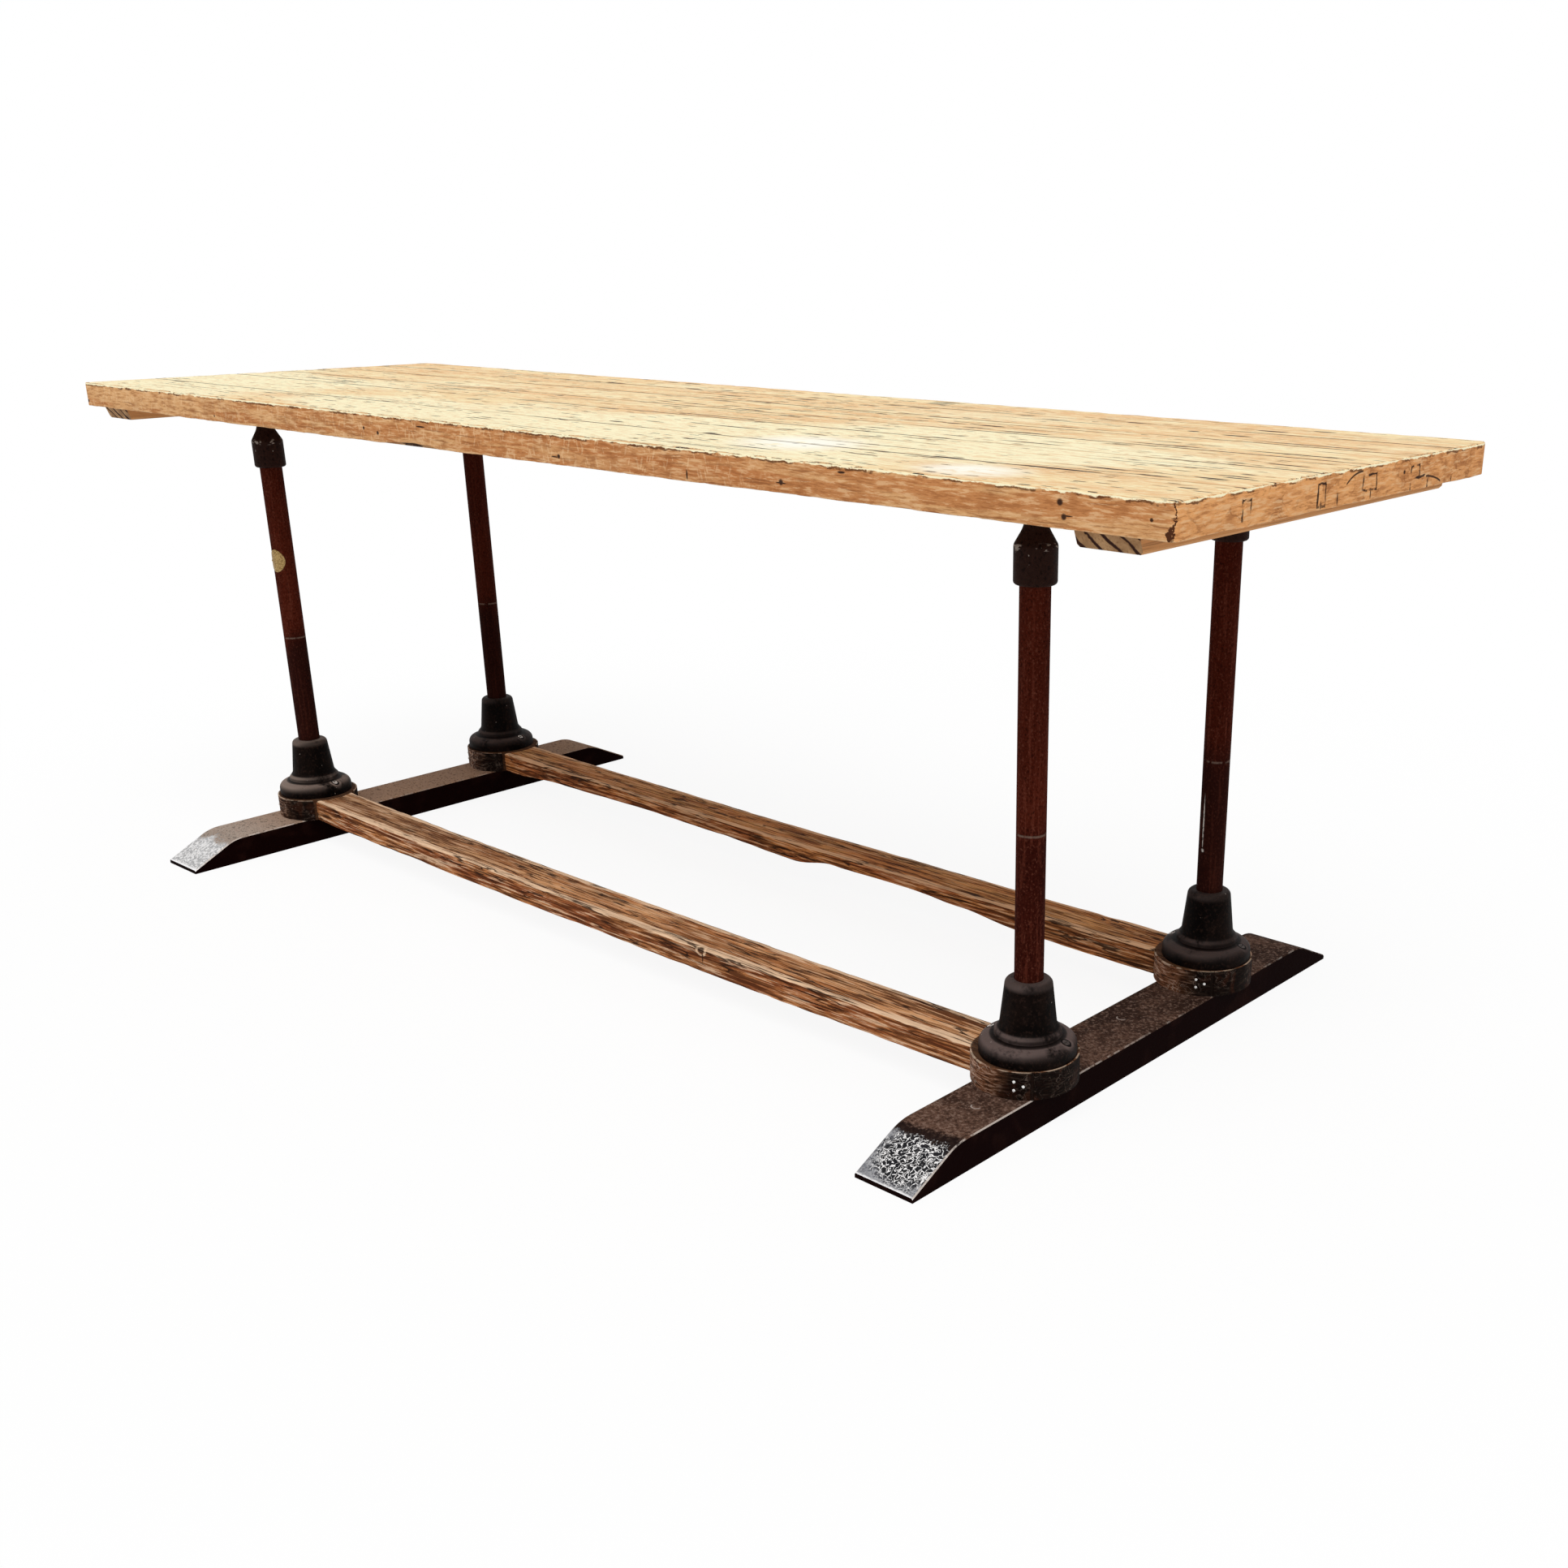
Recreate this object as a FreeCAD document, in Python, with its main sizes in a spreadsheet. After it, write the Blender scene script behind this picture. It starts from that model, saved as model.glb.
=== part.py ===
"""Refectory table: a board top on four pipe posts, with two wooden stretchers and two long feet.

Millimetres, +Z up. The origin is on the floor under the middle of the top, with the top's length along X.
"""
import FreeCAD, Part
import math
import os
from types import SimpleNamespace

import Sketcher

os.makedirs("parts", exist_ok=True)
doc = FreeCAD.newDocument("refectory_table")

# Driving dimensions
DIMENSIONS = {
    # The top, its boards counted from the front
    "table_height": 750,
    "top_length": 2165,
    "top_thickness": 37,
    "board_1_width": 120,
    "board_2_width": 146,
    "board_3_width": 95,
    "board_4_width": 103,
    "board_5_width": 97,
    "board_6_width": 94,
    "tongue_depth": 9,
    "tongue_thickness": 12,
    "tongue_clearance": 0.3,
    "front_corner_radius": 7,
    "rear_corner_radius": 22,
    "board_arris_radius": 2.5,
    # The battens under the top
    "batten_width": 76,
    "batten_thickness": 18.5,
    "batten_left_inset": 70,
    "batten_right_inset": 85,
    "batten_end_setback": 14,
    "batten_end_undercut": 7,
    "batten_edge_chamfer": 3,
    "batten_screw_diameter": 5,
    "batten_screw_head": 10,
    "batten_screw_length": 42,
    # The posts, set a little to the right of the top's middle
    "base_offset": 30,
    "end_overhang": 292.5,
    "post_spacing_wide": 384,
    "pipe_diameter": 34.5,
    "pipe_wall": 3.2,
    # The collars at the tops of the posts
    "collar_wall": 6.75,
    "collar_barrel_height": 42,
    "collar_shoulder_height": 21,
    "collar_neck_height": 24,
    "collar_neck_diameter": 24,
    "collar_shoulder_radius": 9,
    "collar_throat_radius": 36,
    "collar_lip_radius": 4,
    "collar_socket_depth": 24,
    "collar_core_height": 20,
    "collar_core_diameter": 22,
    "stud_diameter": 10,
    "stud_in_board": 24,
    "stud_in_collar": 36,
    # The flanges at the feet of the posts
    "flange_neck_wall": 10.5,
    "flange_neck_taper": 6.5,
    "flange_neck_height": 57.5,
    "flange_neck_fillet": 12,
    "flange_lip_radius": 7,
    "flange_flare_width": 6,
    "flange_flare_height": 7,
    "flange_ledge_height": 4,
    "flange_ledge_radius": 3,
    "flange_rim_width": 18.25,
    "flange_rim_rise": 7,
    "flange_rim_height": 17,
    "flange_rim_radius": 11,
    "flange_socket_depth": 44,
    "flange_screw_diameter": 5,
    "flange_screw_head": 9,
    "flange_screw_length": 36,
    "screw_slot_width": 1.4,
    "screw_slot_depth": 1.1,
    # The stretchers, with a round pad under each flange
    "stretcher_width": 68,
    "stretcher_thickness": 35,
    "stretcher_bow": 11,
    "stretcher_wane_depth": 18,
    "stretcher_wane_radius": 240,
    "stretcher_arris": 4,
    "pad_margin": 4.5,
    "pad_inset": 4,
    # The straps round the pads
    "strap_thickness": 2,
    "strap_gap": 5,
    "strap_nail_diameter": 2.4,
    "strap_nail_head": 3.8,
    "strap_nail_head_height": 1.2,
    "strap_nail_length": 14,
    "strap_nail_pitch": 11,
    # The feet
    "foot_length": 888,
    "foot_width": 86,
    "foot_height": 42,
    "foot_toe_height": 6,
    "foot_toe_slope": 74,
    "foot_toe_radius": 70,
    "foot_arris": 1.5,
    "foot_bolt_diameter": 10,
    "foot_bolt_head": 20,
    "foot_bolt_head_height": 7,
    "foot_bolt_recess": 5,
    "foot_bolt_in_flange": 24,
    "foot_bolt_clearance": 2,
    # The oval plate on the front left post
    "badge_height": 37,
    "badge_width": 27,
    "badge_thickness": 0.9,
    "badge_above_floor": 476,
    "badge_pin_diameter": 2,
    "badge_pin_head": 3.6,
    "badge_pin_head_height": 1,
    "badge_pin_spacing": 20,
}
SHEET = "Dimensions"
BOARD_COUNT = 6

# How closely two places agree when an edge is picked by its place
MATCH = 0.01

# Turns in degrees
FULL_TURN = 360
HALF_TURN = 180
QUARTER_TURN = 90
FLANGE_SCREW_TURN = 12
STRAP_NAIL_TURNS = {"front_left": -32, "front_right": 32, "rear_left": -30, "rear_right": 30}
BADGE_TURN = 17

# Where the outer boards take their batten screw, as a share of their width from the joint
OUTER_SCREW_SHARE = 0.35

# The wane along the rear stretcher's lower edge, as shares of its length from left to right and of its depth
REAR_WANE_SHARES = (
    (0.05, 0.0),
    (0.15, 0.5),
    (0.30, 0.75),
    (0.42, 0.65),
    (0.53, 0.35),
    (0.585, 0.95),
    (0.68, 1.0),
    (0.75, 0.7),
    (0.82, 0.15),
    (0.88, 0.0),
)


class Size:
    """A length in millimetres, with the sheet expression that gives it."""

    def __init__(self, value, text):
        self.value = value
        self.text = text

    def __add__(self, other):
        return Size(self.value + other.value, f"({self.text} + {other.text})")

    def __sub__(self, other):
        return Size(self.value - other.value, f"({self.text} - {other.text})")

    def __neg__(self):
        return Size(-self.value, f"(-{self.text})")

    def __mul__(self, factor):
        return Size(self.value * factor, f"({self.text} * {factor})")

    def __truediv__(self, divisor):
        return Size(self.value / divisor, f"({self.text} / {divisor})")


ZERO = Size(0, "0")


def fill_sheet():
    """Writes the driving dimensions into the sheet and returns them as sizes."""
    sheet = doc.addObject("Spreadsheet::Sheet", SHEET)
    sizes = {}
    for row, (name, value) in enumerate(DIMENSIONS.items(), start=1):
        sheet.set(f"A{row}", name)
        sheet.set(f"B{row}", str(value))
        sheet.setAlias(f"B{row}", name)
        sizes[name] = Size(value, f"{SHEET}.{name}")
    doc.recompute()
    return SimpleNamespace(**sizes)


dim = fill_sheet()

# Levels and places that follow from the driving dimensions
BOARD_WIDTHS = [getattr(dim, f"board_{number}_width") for number in range(1, BOARD_COUNT + 1)]
TOP_WIDTH = sum(BOARD_WIDTHS, ZERO)
UNDERSIDE = dim.table_height - dim.top_thickness
COLLAR_HEIGHT = dim.collar_barrel_height + dim.collar_shoulder_height + dim.collar_neck_height
COLLAR_BOTTOM = UNDERSIDE - COLLAR_HEIGHT
STRETCHER_TOP = dim.foot_height + dim.stretcher_thickness
RIM_TOP = dim.flange_rim_height + dim.flange_rim_rise
NECK_BASE = RIM_TOP + dim.flange_ledge_height + dim.flange_flare_height
FLANGE_HEIGHT = NECK_BASE + dim.flange_neck_height
FLANGE_TOP = STRETCHER_TOP + FLANGE_HEIGHT
HALF_LONG = dim.top_length / 2 - dim.end_overhang
HALF_WIDE = dim.post_spacing_wide / 2
PIPE_RADIUS = dim.pipe_diameter / 2
NECK_TOP_RADIUS = PIPE_RADIUS + dim.flange_neck_wall
NECK_BASE_RADIUS = NECK_TOP_RADIUS + dim.flange_neck_taper
LEDGE_RADIUS = NECK_BASE_RADIUS + dim.flange_flare_width
FLANGE_RADIUS = LEDGE_RADIUS + dim.flange_rim_width
PAD_RADIUS = FLANGE_RADIUS + dim.pad_margin
LEFT = dim.base_offset - HALF_LONG
RIGHT = dim.base_offset + HALF_LONG
POSTS = {
    "front_left": (LEFT, -HALF_WIDE),
    "front_right": (RIGHT, -HALF_WIDE),
    "rear_left": (LEFT, HALF_WIDE),
    "rear_right": (RIGHT, HALF_WIDE),
}
PADS = {
    "front_left": (LEFT + dim.pad_inset, -HALF_WIDE),
    "front_right": (RIGHT - dim.pad_inset, -HALF_WIDE),
    "rear_left": (LEFT + dim.pad_inset, HALF_WIDE),
    "rear_right": (RIGHT - dim.pad_inset, HALF_WIDE),
}
BATTENS = {
    "left": dim.batten_left_inset - dim.top_length / 2,
    "right": dim.top_length / 2 - dim.batten_right_inset,
}


# Sketching


def new_body(label):
    body = doc.addObject("PartDesign::Body", label)
    body.Label = label
    return body


def new_sketch(body, role):
    """A sketch on one of the body's own origin planes."""
    sketch = body.newObject("Sketcher::SketchObject", "Sketch")
    plane = next(feature for feature in body.Origin.OriginFeatures if feature.Role == role)
    sketch.AttachmentSupport = [(plane, "")]
    sketch.MapMode = "FlatFace"
    return sketch


def bind(sketch, size, kind, *elements):
    """Adds a dimension to a sketch and ties it to the sheet."""
    index = sketch.addConstraint(Sketcher.Constraint(kind, *elements, size.value))
    sketch.setExpression(f"Constraints[{index}]", size.text)


def fix_point(sketch, geometry, position, x, y):
    bind(sketch, x, "DistanceX", -1, 1, geometry, position)
    bind(sketch, y, "DistanceY", -1, 1, geometry, position)


def draw_circle(sketch, radius, x=ZERO, y=ZERO):
    centre = FreeCAD.Vector(x.value, y.value, 0)
    circle = sketch.addGeometry(Part.Circle(centre, FreeCAD.Vector(0, 0, 1), radius.value))
    fix_point(sketch, circle, 3, x, y)
    bind(sketch, radius, "Radius", circle)


def rounding(before, corner, after, radius):
    """The arc that rounds a corner: its centre, its two ends and whether it turns left."""
    arriving = (corner - before).normalize()
    leaving = (after - corner).normalize()
    turns_left = arriving.cross(leaving).z > 0
    setback = radius * math.tan(arriving.getAngle(leaving) / 2)
    entry = corner - arriving * setback
    leave = corner + leaving * setback
    inward = FreeCAD.Vector(-arriving.y, arriving.x, 0) * (radius if turns_left else -radius)
    return entry + inward, entry, leave, turns_left


def draw_outline(sketch, corners):
    """Draws a closed outline through corners (x, y) or (x, y, radius), each rounded where it has a radius."""
    count = len(corners)
    points = [FreeCAD.Vector(corner[0].value, corner[1].value, 0) for corner in corners]
    arcs = {}
    for index, corner in enumerate(corners):
        if len(corner) == 3:
            after = points[(index + 1) % count]
            arcs[index] = rounding(points[index - 1], points[index], after, corner[2].value)
    lines = []
    for index in range(count):
        following = (index + 1) % count
        start = arcs[index][2] if index in arcs else points[index]
        end = arcs[following][1] if following in arcs else points[following]
        lines.append(sketch.addGeometry(Part.LineSegment(start, end)))
    for index, corner in enumerate(corners):
        arriving, leaving = lines[index - 1], lines[index]
        if index not in arcs:
            sketch.addConstraint(Sketcher.Constraint("Coincident", arriving, 2, leaving, 1))
            fix_point(sketch, leaving, 1, corner[0], corner[1])
            continue
        centre, entry, leave, turns_left = arcs[index]
        first, last = (entry, leave) if turns_left else (leave, entry)
        circle = Part.Circle(centre, FreeCAD.Vector(0, 0, 1), corner[2].value)
        start_angle = math.atan2(first.y - centre.y, first.x - centre.x)
        end_angle = math.atan2(last.y - centre.y, last.x - centre.x)
        arc = sketch.addGeometry(Part.ArcOfCircle(circle, start_angle, end_angle))
        mark = sketch.addGeometry(Part.Point(points[index]), True)
        fix_point(sketch, mark, 1, corner[0], corner[1])
        sketch.addConstraint(Sketcher.Constraint("PointOnObject", mark, 1, arriving))
        sketch.addConstraint(Sketcher.Constraint("PointOnObject", mark, 1, leaving))
        arc_entry, arc_exit = (1, 2) if turns_left else (2, 1)
        sketch.addConstraint(Sketcher.Constraint("Tangent", arriving, 2, arc, arc_entry))
        sketch.addConstraint(Sketcher.Constraint("Tangent", leaving, 1, arc, arc_exit))
        bind(sketch, corner[2], "Radius", arc)


def rectangle(low_x, low_y, high_x, high_y):
    return [(low_x, low_y), (high_x, low_y), (high_x, high_y), (low_x, high_y)]


# Features


def pad(body, sketch, length, symmetric=False):
    feature = body.newObject("PartDesign::Pad", "Pad")
    feature.Profile = sketch
    feature.SideType = "Symmetric" if symmetric else "One side"
    feature.setExpression("Length", length.text)
    doc.recompute()
    return feature


def pocket(body, sketch, depth=None, reversed_side=False):
    """Cuts a sketch to a depth, or through everything on both sides of its plane."""
    feature = body.newObject("PartDesign::Pocket", "Pocket")
    feature.Profile = sketch
    feature.Reversed = reversed_side
    if depth is None:
        feature.SideType = "Symmetric"
        feature.Type = "ThroughAll"
    else:
        feature.setExpression("Length", depth.text)
    doc.recompute()
    return feature


def revolve(body, corners):
    """Turns a half profile, drawn as radius and height, about the body's Z axis."""
    sketch = new_sketch(body, "XZ_Plane")
    draw_outline(sketch, corners)
    feature = body.newObject("PartDesign::Revolution", "Revolution")
    feature.Profile = sketch
    feature.ReferenceAxis = (sketch, ["V_Axis"])
    feature.Angle = FULL_TURN
    doc.recompute()
    return feature


def dress(body, kind, base, size, property_name, chosen):
    """Rounds or bevels the edges of a feature that the chosen test picks."""
    names = [f"Edge{number}" for number, edge in enumerate(base.Shape.Edges, start=1) if chosen(edge)]
    feature = body.newObject(f"PartDesign::{kind}", kind)
    feature.Base = (base, names)
    feature.setExpression(property_name, size.text)
    doc.recompute()
    return feature


def place(piece, x=ZERO, y=ZERO, z=ZERO, rotation=FreeCAD.Rotation()):
    piece.Placement = FreeCAD.Placement(FreeCAD.Vector(), rotation)
    for axis, size in (("x", x), ("y", y), ("z", z)):
        if size is not ZERO:
            piece.setExpression(f"Placement.Base.{axis}", size.text)


def copy_of(piece, *position, rotation=FreeCAD.Rotation()):
    link = doc.addObject("App::Link", f"{piece.Name}_copy")
    link.LinkedObject = piece
    place(link, *position, rotation=rotation)
    return link


def group(label, pieces):
    compound = doc.addObject("Part::Compound", label)
    compound.Label = label
    compound.Links = pieces
    return compound


def drilled(label, blank, fasteners):
    """A piece with the holes that its fasteners fill."""
    cut = doc.addObject("Part::Cut", label)
    cut.Label = label
    cut.Base = blank
    cut.Tool = fasteners
    return cut


def about_z(turn):
    return FreeCAD.Rotation(FreeCAD.Vector(0, 0, 1), turn)


# Fasteners


def make_countersunk_screw(label, diameter, head, length):
    """A screw that points down, with the flat of its countersunk head at height zero."""
    screw = new_body(label)
    shank = diameter / 2
    rim = head / 2
    point = [(ZERO, -length), (shank, shank - length)]
    head_cone = [(shank, shank - rim), (rim, ZERO), (ZERO, ZERO)]
    revolve(screw, point + head_cone)
    return screw


def make_domed_nail(label, diameter, head, head_height, length):
    """A nail that points down, its domed head standing on height zero."""
    nail = new_body(label)
    shank = diameter / 2
    rim = head / 2
    point = [(ZERO, -length), (shank, shank - length), (shank, ZERO)]
    dome = [(rim, ZERO), (shank, head_height), (ZERO, head_height)]
    revolve(nail, point + dome)
    return nail


def make_batten_screws():
    """One screw through each batten into every board, its head flush with the batten's underside."""
    screw = make_countersunk_screw(
        "batten_screw", dim.batten_screw_diameter, dim.batten_screw_head, dim.batten_screw_length
    )
    upward = FreeCAD.Rotation(FreeCAD.Vector(1, 0, 0), HALF_TURN)
    level = UNDERSIDE - dim.batten_thickness
    screws = []
    for x in BATTENS.values():
        seam = -TOP_WIDTH / 2
        for number, width in enumerate(BOARD_WIDTHS):
            y = seam + width / 2
            if number == 0:
                y = seam + width * (1 - OUTER_SCREW_SHARE)
            if number == BOARD_COUNT - 1:
                y = seam + width * OUTER_SCREW_SHARE
            screws.append(copy_of(screw, x, y, level, rotation=upward))
            seam = seam + width
    return group("batten_screws", screws)


def make_post_studs():
    """One stud from each collar's crown into the boards above it."""
    stud = new_body("post_stud")
    sketch = new_sketch(stud, "XY_Plane")
    draw_circle(sketch, dim.stud_diameter / 2)
    pad(stud, sketch, dim.stud_in_collar + dim.stud_in_board)
    level = UNDERSIDE - dim.stud_in_collar
    return group("post_studs", [copy_of(stud, x, y, level) for x, y in POSTS.values()])


def make_flange_screws():
    """Two slotted screws square to each flange's sloping rim, with the blanks that cut their holes."""
    blank = make_countersunk_screw(
        "flange_screw", dim.flange_screw_diameter, dim.flange_screw_head, dim.flange_screw_length
    )
    slotted = make_countersunk_screw(
        "slotted_flange_screw", dim.flange_screw_diameter, dim.flange_screw_head, dim.flange_screw_length
    )
    slot = new_sketch(slotted, "XZ_Plane")
    half_slot = dim.screw_slot_width / 2
    draw_outline(slot, rectangle(-half_slot, -dim.screw_slot_depth, half_slot, dim.screw_slot_depth))
    pocket(slotted, slot)
    level = STRETCHER_TOP + dim.flange_rim_height + dim.flange_rim_rise / 2
    reach = LEDGE_RADIUS + dim.flange_rim_width / 2
    slope = math.degrees(math.atan2(dim.flange_rim_rise.value, dim.flange_rim_width.value))
    outward = FreeCAD.Rotation(FreeCAD.Vector(0, 1, 0), slope)
    blanks = []
    finished = []
    for x, y in POSTS.values():
        for direction in (FLANGE_SCREW_TURN, FLANGE_SCREW_TURN + HALF_TURN):
            angle = math.radians(direction)
            spot = (x + reach * math.cos(angle), y + reach * math.sin(angle), level)
            square_to_rim = about_z(direction).multiply(outward)
            blanks.append(copy_of(blank, *spot, rotation=square_to_rim))
            finished.append(copy_of(slotted, *spot, rotation=square_to_rim))
    return group("flange_screw_blanks", blanks), group("flange_screws", finished)


def make_foot_bolts():
    """One bolt up through each foot and pad into the flange, its head in a recess under the foot."""
    bolt = new_body("foot_bolt")
    shank = dim.foot_bolt_diameter / 2
    rim = dim.foot_bolt_head / 2
    seat = dim.foot_bolt_head_height
    reach = STRETCHER_TOP + dim.foot_bolt_in_flange - dim.foot_bolt_recess
    revolve(bolt, [(ZERO, ZERO), (rim, ZERO), (rim, seat), (shank, seat), (shank, reach), (ZERO, reach)])
    return group("foot_bolts", [copy_of(bolt, x, y, dim.foot_bolt_recess) for x, y in POSTS.values()])


def make_strap_nails():
    """Three nails in a triangle on the outer face of each strap."""
    nail = make_domed_nail(
        "strap_nail",
        dim.strap_nail_diameter,
        dim.strap_nail_head,
        dim.strap_nail_head_height,
        dim.strap_nail_length,
    )
    radius = PAD_RADIUS + dim.strap_thickness
    middle = dim.foot_height + dim.stretcher_thickness / 2
    step = dim.strap_nail_pitch / 2
    step_turn = math.degrees(step.value / radius.value)
    nails = []
    for name, (x, y) in PADS.items():
        for turn, rise in ((-step_turn, step), (step_turn, ZERO), (-step_turn, -step)):
            direction = STRAP_NAIL_TURNS[name] - QUARTER_TURN + turn
            angle = math.radians(direction)
            spot = (x + radius * math.cos(angle), y + radius * math.sin(angle), middle + rise)
            outward = about_z(direction).multiply(FreeCAD.Rotation(FreeCAD.Vector(0, 1, 0), QUARTER_TURN))
            nails.append(copy_of(nail, *spot, rotation=outward))
    return group("strap_nails", nails)


# The top


def runs_along(edge, y):
    """True for an edge that keeps to one place across the table."""
    box = edge.BoundBox
    return abs(box.YMin - y.value) < MATCH and abs(box.YMax - y.value) < MATCH


def make_board(number, fasteners):
    """One board, its front edge on the body's X axis and its underside on the XY plane."""
    width = BOARD_WIDTHS[number - 1]
    first = number == 1
    last = number == BOARD_COUNT
    half = dim.top_length / 2
    blank = new_body(f"board_{number}_blank")
    corners = rectangle(-half, ZERO, half, width)
    if first:
        corners[0] = (*corners[0], dim.front_corner_radius)
        corners[1] = (*corners[1], dim.front_corner_radius)
    if last:
        corners[2] = (*corners[2], dim.rear_corner_radius)
        corners[3] = (*corners[3], dim.rear_corner_radius)
    plan = new_sketch(blank, "XY_Plane")
    draw_outline(plan, corners)
    slab = pad(blank, plan, dim.top_thickness)

    def open_arris(edge):
        at_joint = (runs_along(edge, ZERO) and not first) or (runs_along(edge, width) and not last)
        return edge.BoundBox.ZLength < MATCH and not at_joint

    dress(blank, "Fillet", slab, dim.board_arris_radius, "Radius", open_arris)
    middle = dim.top_thickness / 2
    if not first:
        reach = dim.tongue_depth + dim.tongue_clearance
        half_groove = dim.tongue_thickness / 2 + dim.tongue_clearance
        groove = new_sketch(blank, "YZ_Plane")
        draw_outline(groove, rectangle(-reach, middle - half_groove, reach, middle + half_groove))
        pocket(blank, groove)
    if not last:
        half_tongue = dim.tongue_thickness / 2
        tongue = new_sketch(blank, "YZ_Plane")
        root = width - dim.tongue_depth
        tip = width + dim.tongue_depth
        draw_outline(tongue, rectangle(root, middle - half_tongue, tip, middle + half_tongue))
        pad(blank, tongue, dim.top_length, symmetric=True)
    front = sum(BOARD_WIDTHS[: number - 1], ZERO) - TOP_WIDTH / 2
    place(blank, ZERO, front, UNDERSIDE)
    return drilled(f"board_{number}", blank, fasteners)


def make_batten(side, fasteners):
    """A cross batten under the boards, its ends cut back towards the floor."""
    blank = new_body(f"batten_{side}_blank")
    long_end = TOP_WIDTH / 2 - dim.batten_end_setback
    short_end = long_end - dim.batten_end_undercut
    drop = -dim.batten_thickness
    profile = new_sketch(blank, "YZ_Plane")
    draw_outline(profile, [(-short_end, drop), (short_end, drop), (long_end, ZERO), (-long_end, ZERO)])
    bar = pad(blank, profile, dim.batten_width, symmetric=True)

    def lower_side(edge):
        box = edge.BoundBox
        return abs(box.ZMax - drop.value) < MATCH and box.YLength > box.XLength

    dress(blank, "Chamfer", bar, dim.batten_edge_chamfer, "Size", lower_side)
    place(blank, BATTENS[side], ZERO, UNDERSIDE)
    return drilled(f"batten_{side}", blank, fasteners)


# The posts and their castings


def make_post(name):
    """A pipe that stands in the flange's socket and reaches up into the collar's."""
    post = new_body(f"post_{name}")
    foot = FLANGE_TOP - dim.flange_socket_depth
    head = COLLAR_BOTTOM + dim.collar_socket_depth
    section = new_sketch(post, "XY_Plane")
    draw_circle(section, PIPE_RADIUS)
    draw_circle(section, PIPE_RADIUS - dim.pipe_wall)
    pad(post, section, head - foot)
    place(post, *POSTS[name], foot)
    return post


def make_collar(name, studs):
    """A bottle-shaped reducer, turned about its own axis, with a socket for the post."""
    barrel = PIPE_RADIUS + dim.collar_wall
    neck = dim.collar_neck_diameter / 2
    core = dim.collar_core_diameter / 2
    shoulder = dim.collar_barrel_height
    throat = shoulder + dim.collar_shoulder_height
    socket = dim.collar_socket_depth
    crown = socket + dim.collar_core_height
    blank = new_body(f"collar_{name}_blank")
    revolve(
        blank,
        [
            (PIPE_RADIUS, ZERO),
            (barrel, ZERO, dim.collar_lip_radius),
            (barrel, shoulder, dim.collar_shoulder_radius),
            (neck, throat, dim.collar_throat_radius),
            (neck, COLLAR_HEIGHT),
            (ZERO, COLLAR_HEIGHT),
            (ZERO, crown),
            (core, crown),
            (core, socket),
            (PIPE_RADIUS, socket),
        ],
    )
    place(blank, *POSTS[name], COLLAR_BOTTOM)
    return drilled(f"collar_{name}", blank, studs)


def make_flange(name, fasteners):
    """A bell-shaped floor socket: a sloping rim, a ledge, a flare and a tapered neck."""
    ledge_top = RIM_TOP + dim.flange_ledge_height
    socket = FLANGE_HEIGHT - dim.flange_socket_depth
    blank = new_body(f"flange_{name}_blank")
    revolve(
        blank,
        [
            (ZERO, ZERO),
            (FLANGE_RADIUS, ZERO),
            (FLANGE_RADIUS, dim.flange_rim_height, dim.flange_rim_radius),
            (LEDGE_RADIUS, RIM_TOP),
            (LEDGE_RADIUS, ledge_top, dim.flange_ledge_radius),
            (NECK_BASE_RADIUS, NECK_BASE, dim.flange_neck_fillet),
            (NECK_TOP_RADIUS, FLANGE_HEIGHT, dim.flange_lip_radius),
            (PIPE_RADIUS, FLANGE_HEIGHT),
            (PIPE_RADIUS, socket),
            (ZERO, socket),
        ],
    )
    place(blank, *POSTS[name], STRETCHER_TOP)
    return drilled(f"flange_{name}", blank, fasteners)


def make_badge(pins):
    """An oval plate bent round the front left post, cut from a thin tube by an oval prism."""
    outer = doc.addObject("Part::Cylinder", "badge_outer")
    outer.setExpression("Radius", (PIPE_RADIUS + dim.badge_thickness).text)
    outer.setExpression("Height", dim.badge_height.text)
    inner = doc.addObject("Part::Cylinder", "badge_inner")
    inner.setExpression("Radius", PIPE_RADIUS.text)
    inner.setExpression("Height", dim.badge_height.text)
    sleeve = doc.addObject("Part::Cut", "badge_sleeve")
    sleeve.Base = outer
    sleeve.Tool = inner
    oval = doc.addObject("Part::Ellipse", "badge_oval")
    oval.setExpression("MajorRadius", (dim.badge_height / 2).text)
    oval.setExpression("MinorRadius", (dim.badge_width / 2).text)
    place(oval, z=dim.badge_height / 2, rotation=FreeCAD.Rotation(FreeCAD.Vector(0, 1, 0), QUARTER_TURN))
    prism = doc.addObject("Part::Extrusion", "badge_prism")
    prism.Base = oval
    prism.DirMode = "Normal"
    prism.Solid = True
    prism.setExpression("LengthFwd", dim.pipe_diameter.text)
    plate = doc.addObject("Part::Common", "badge_blank")
    plate.Base = sleeve
    plate.Tool = prism
    facing = about_z(BADGE_TURN - QUARTER_TURN)
    place(plate, *POSTS["front_left"], dim.badge_above_floor - dim.badge_height / 2, rotation=facing)
    return drilled("badge_plate", plate, pins)


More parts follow.
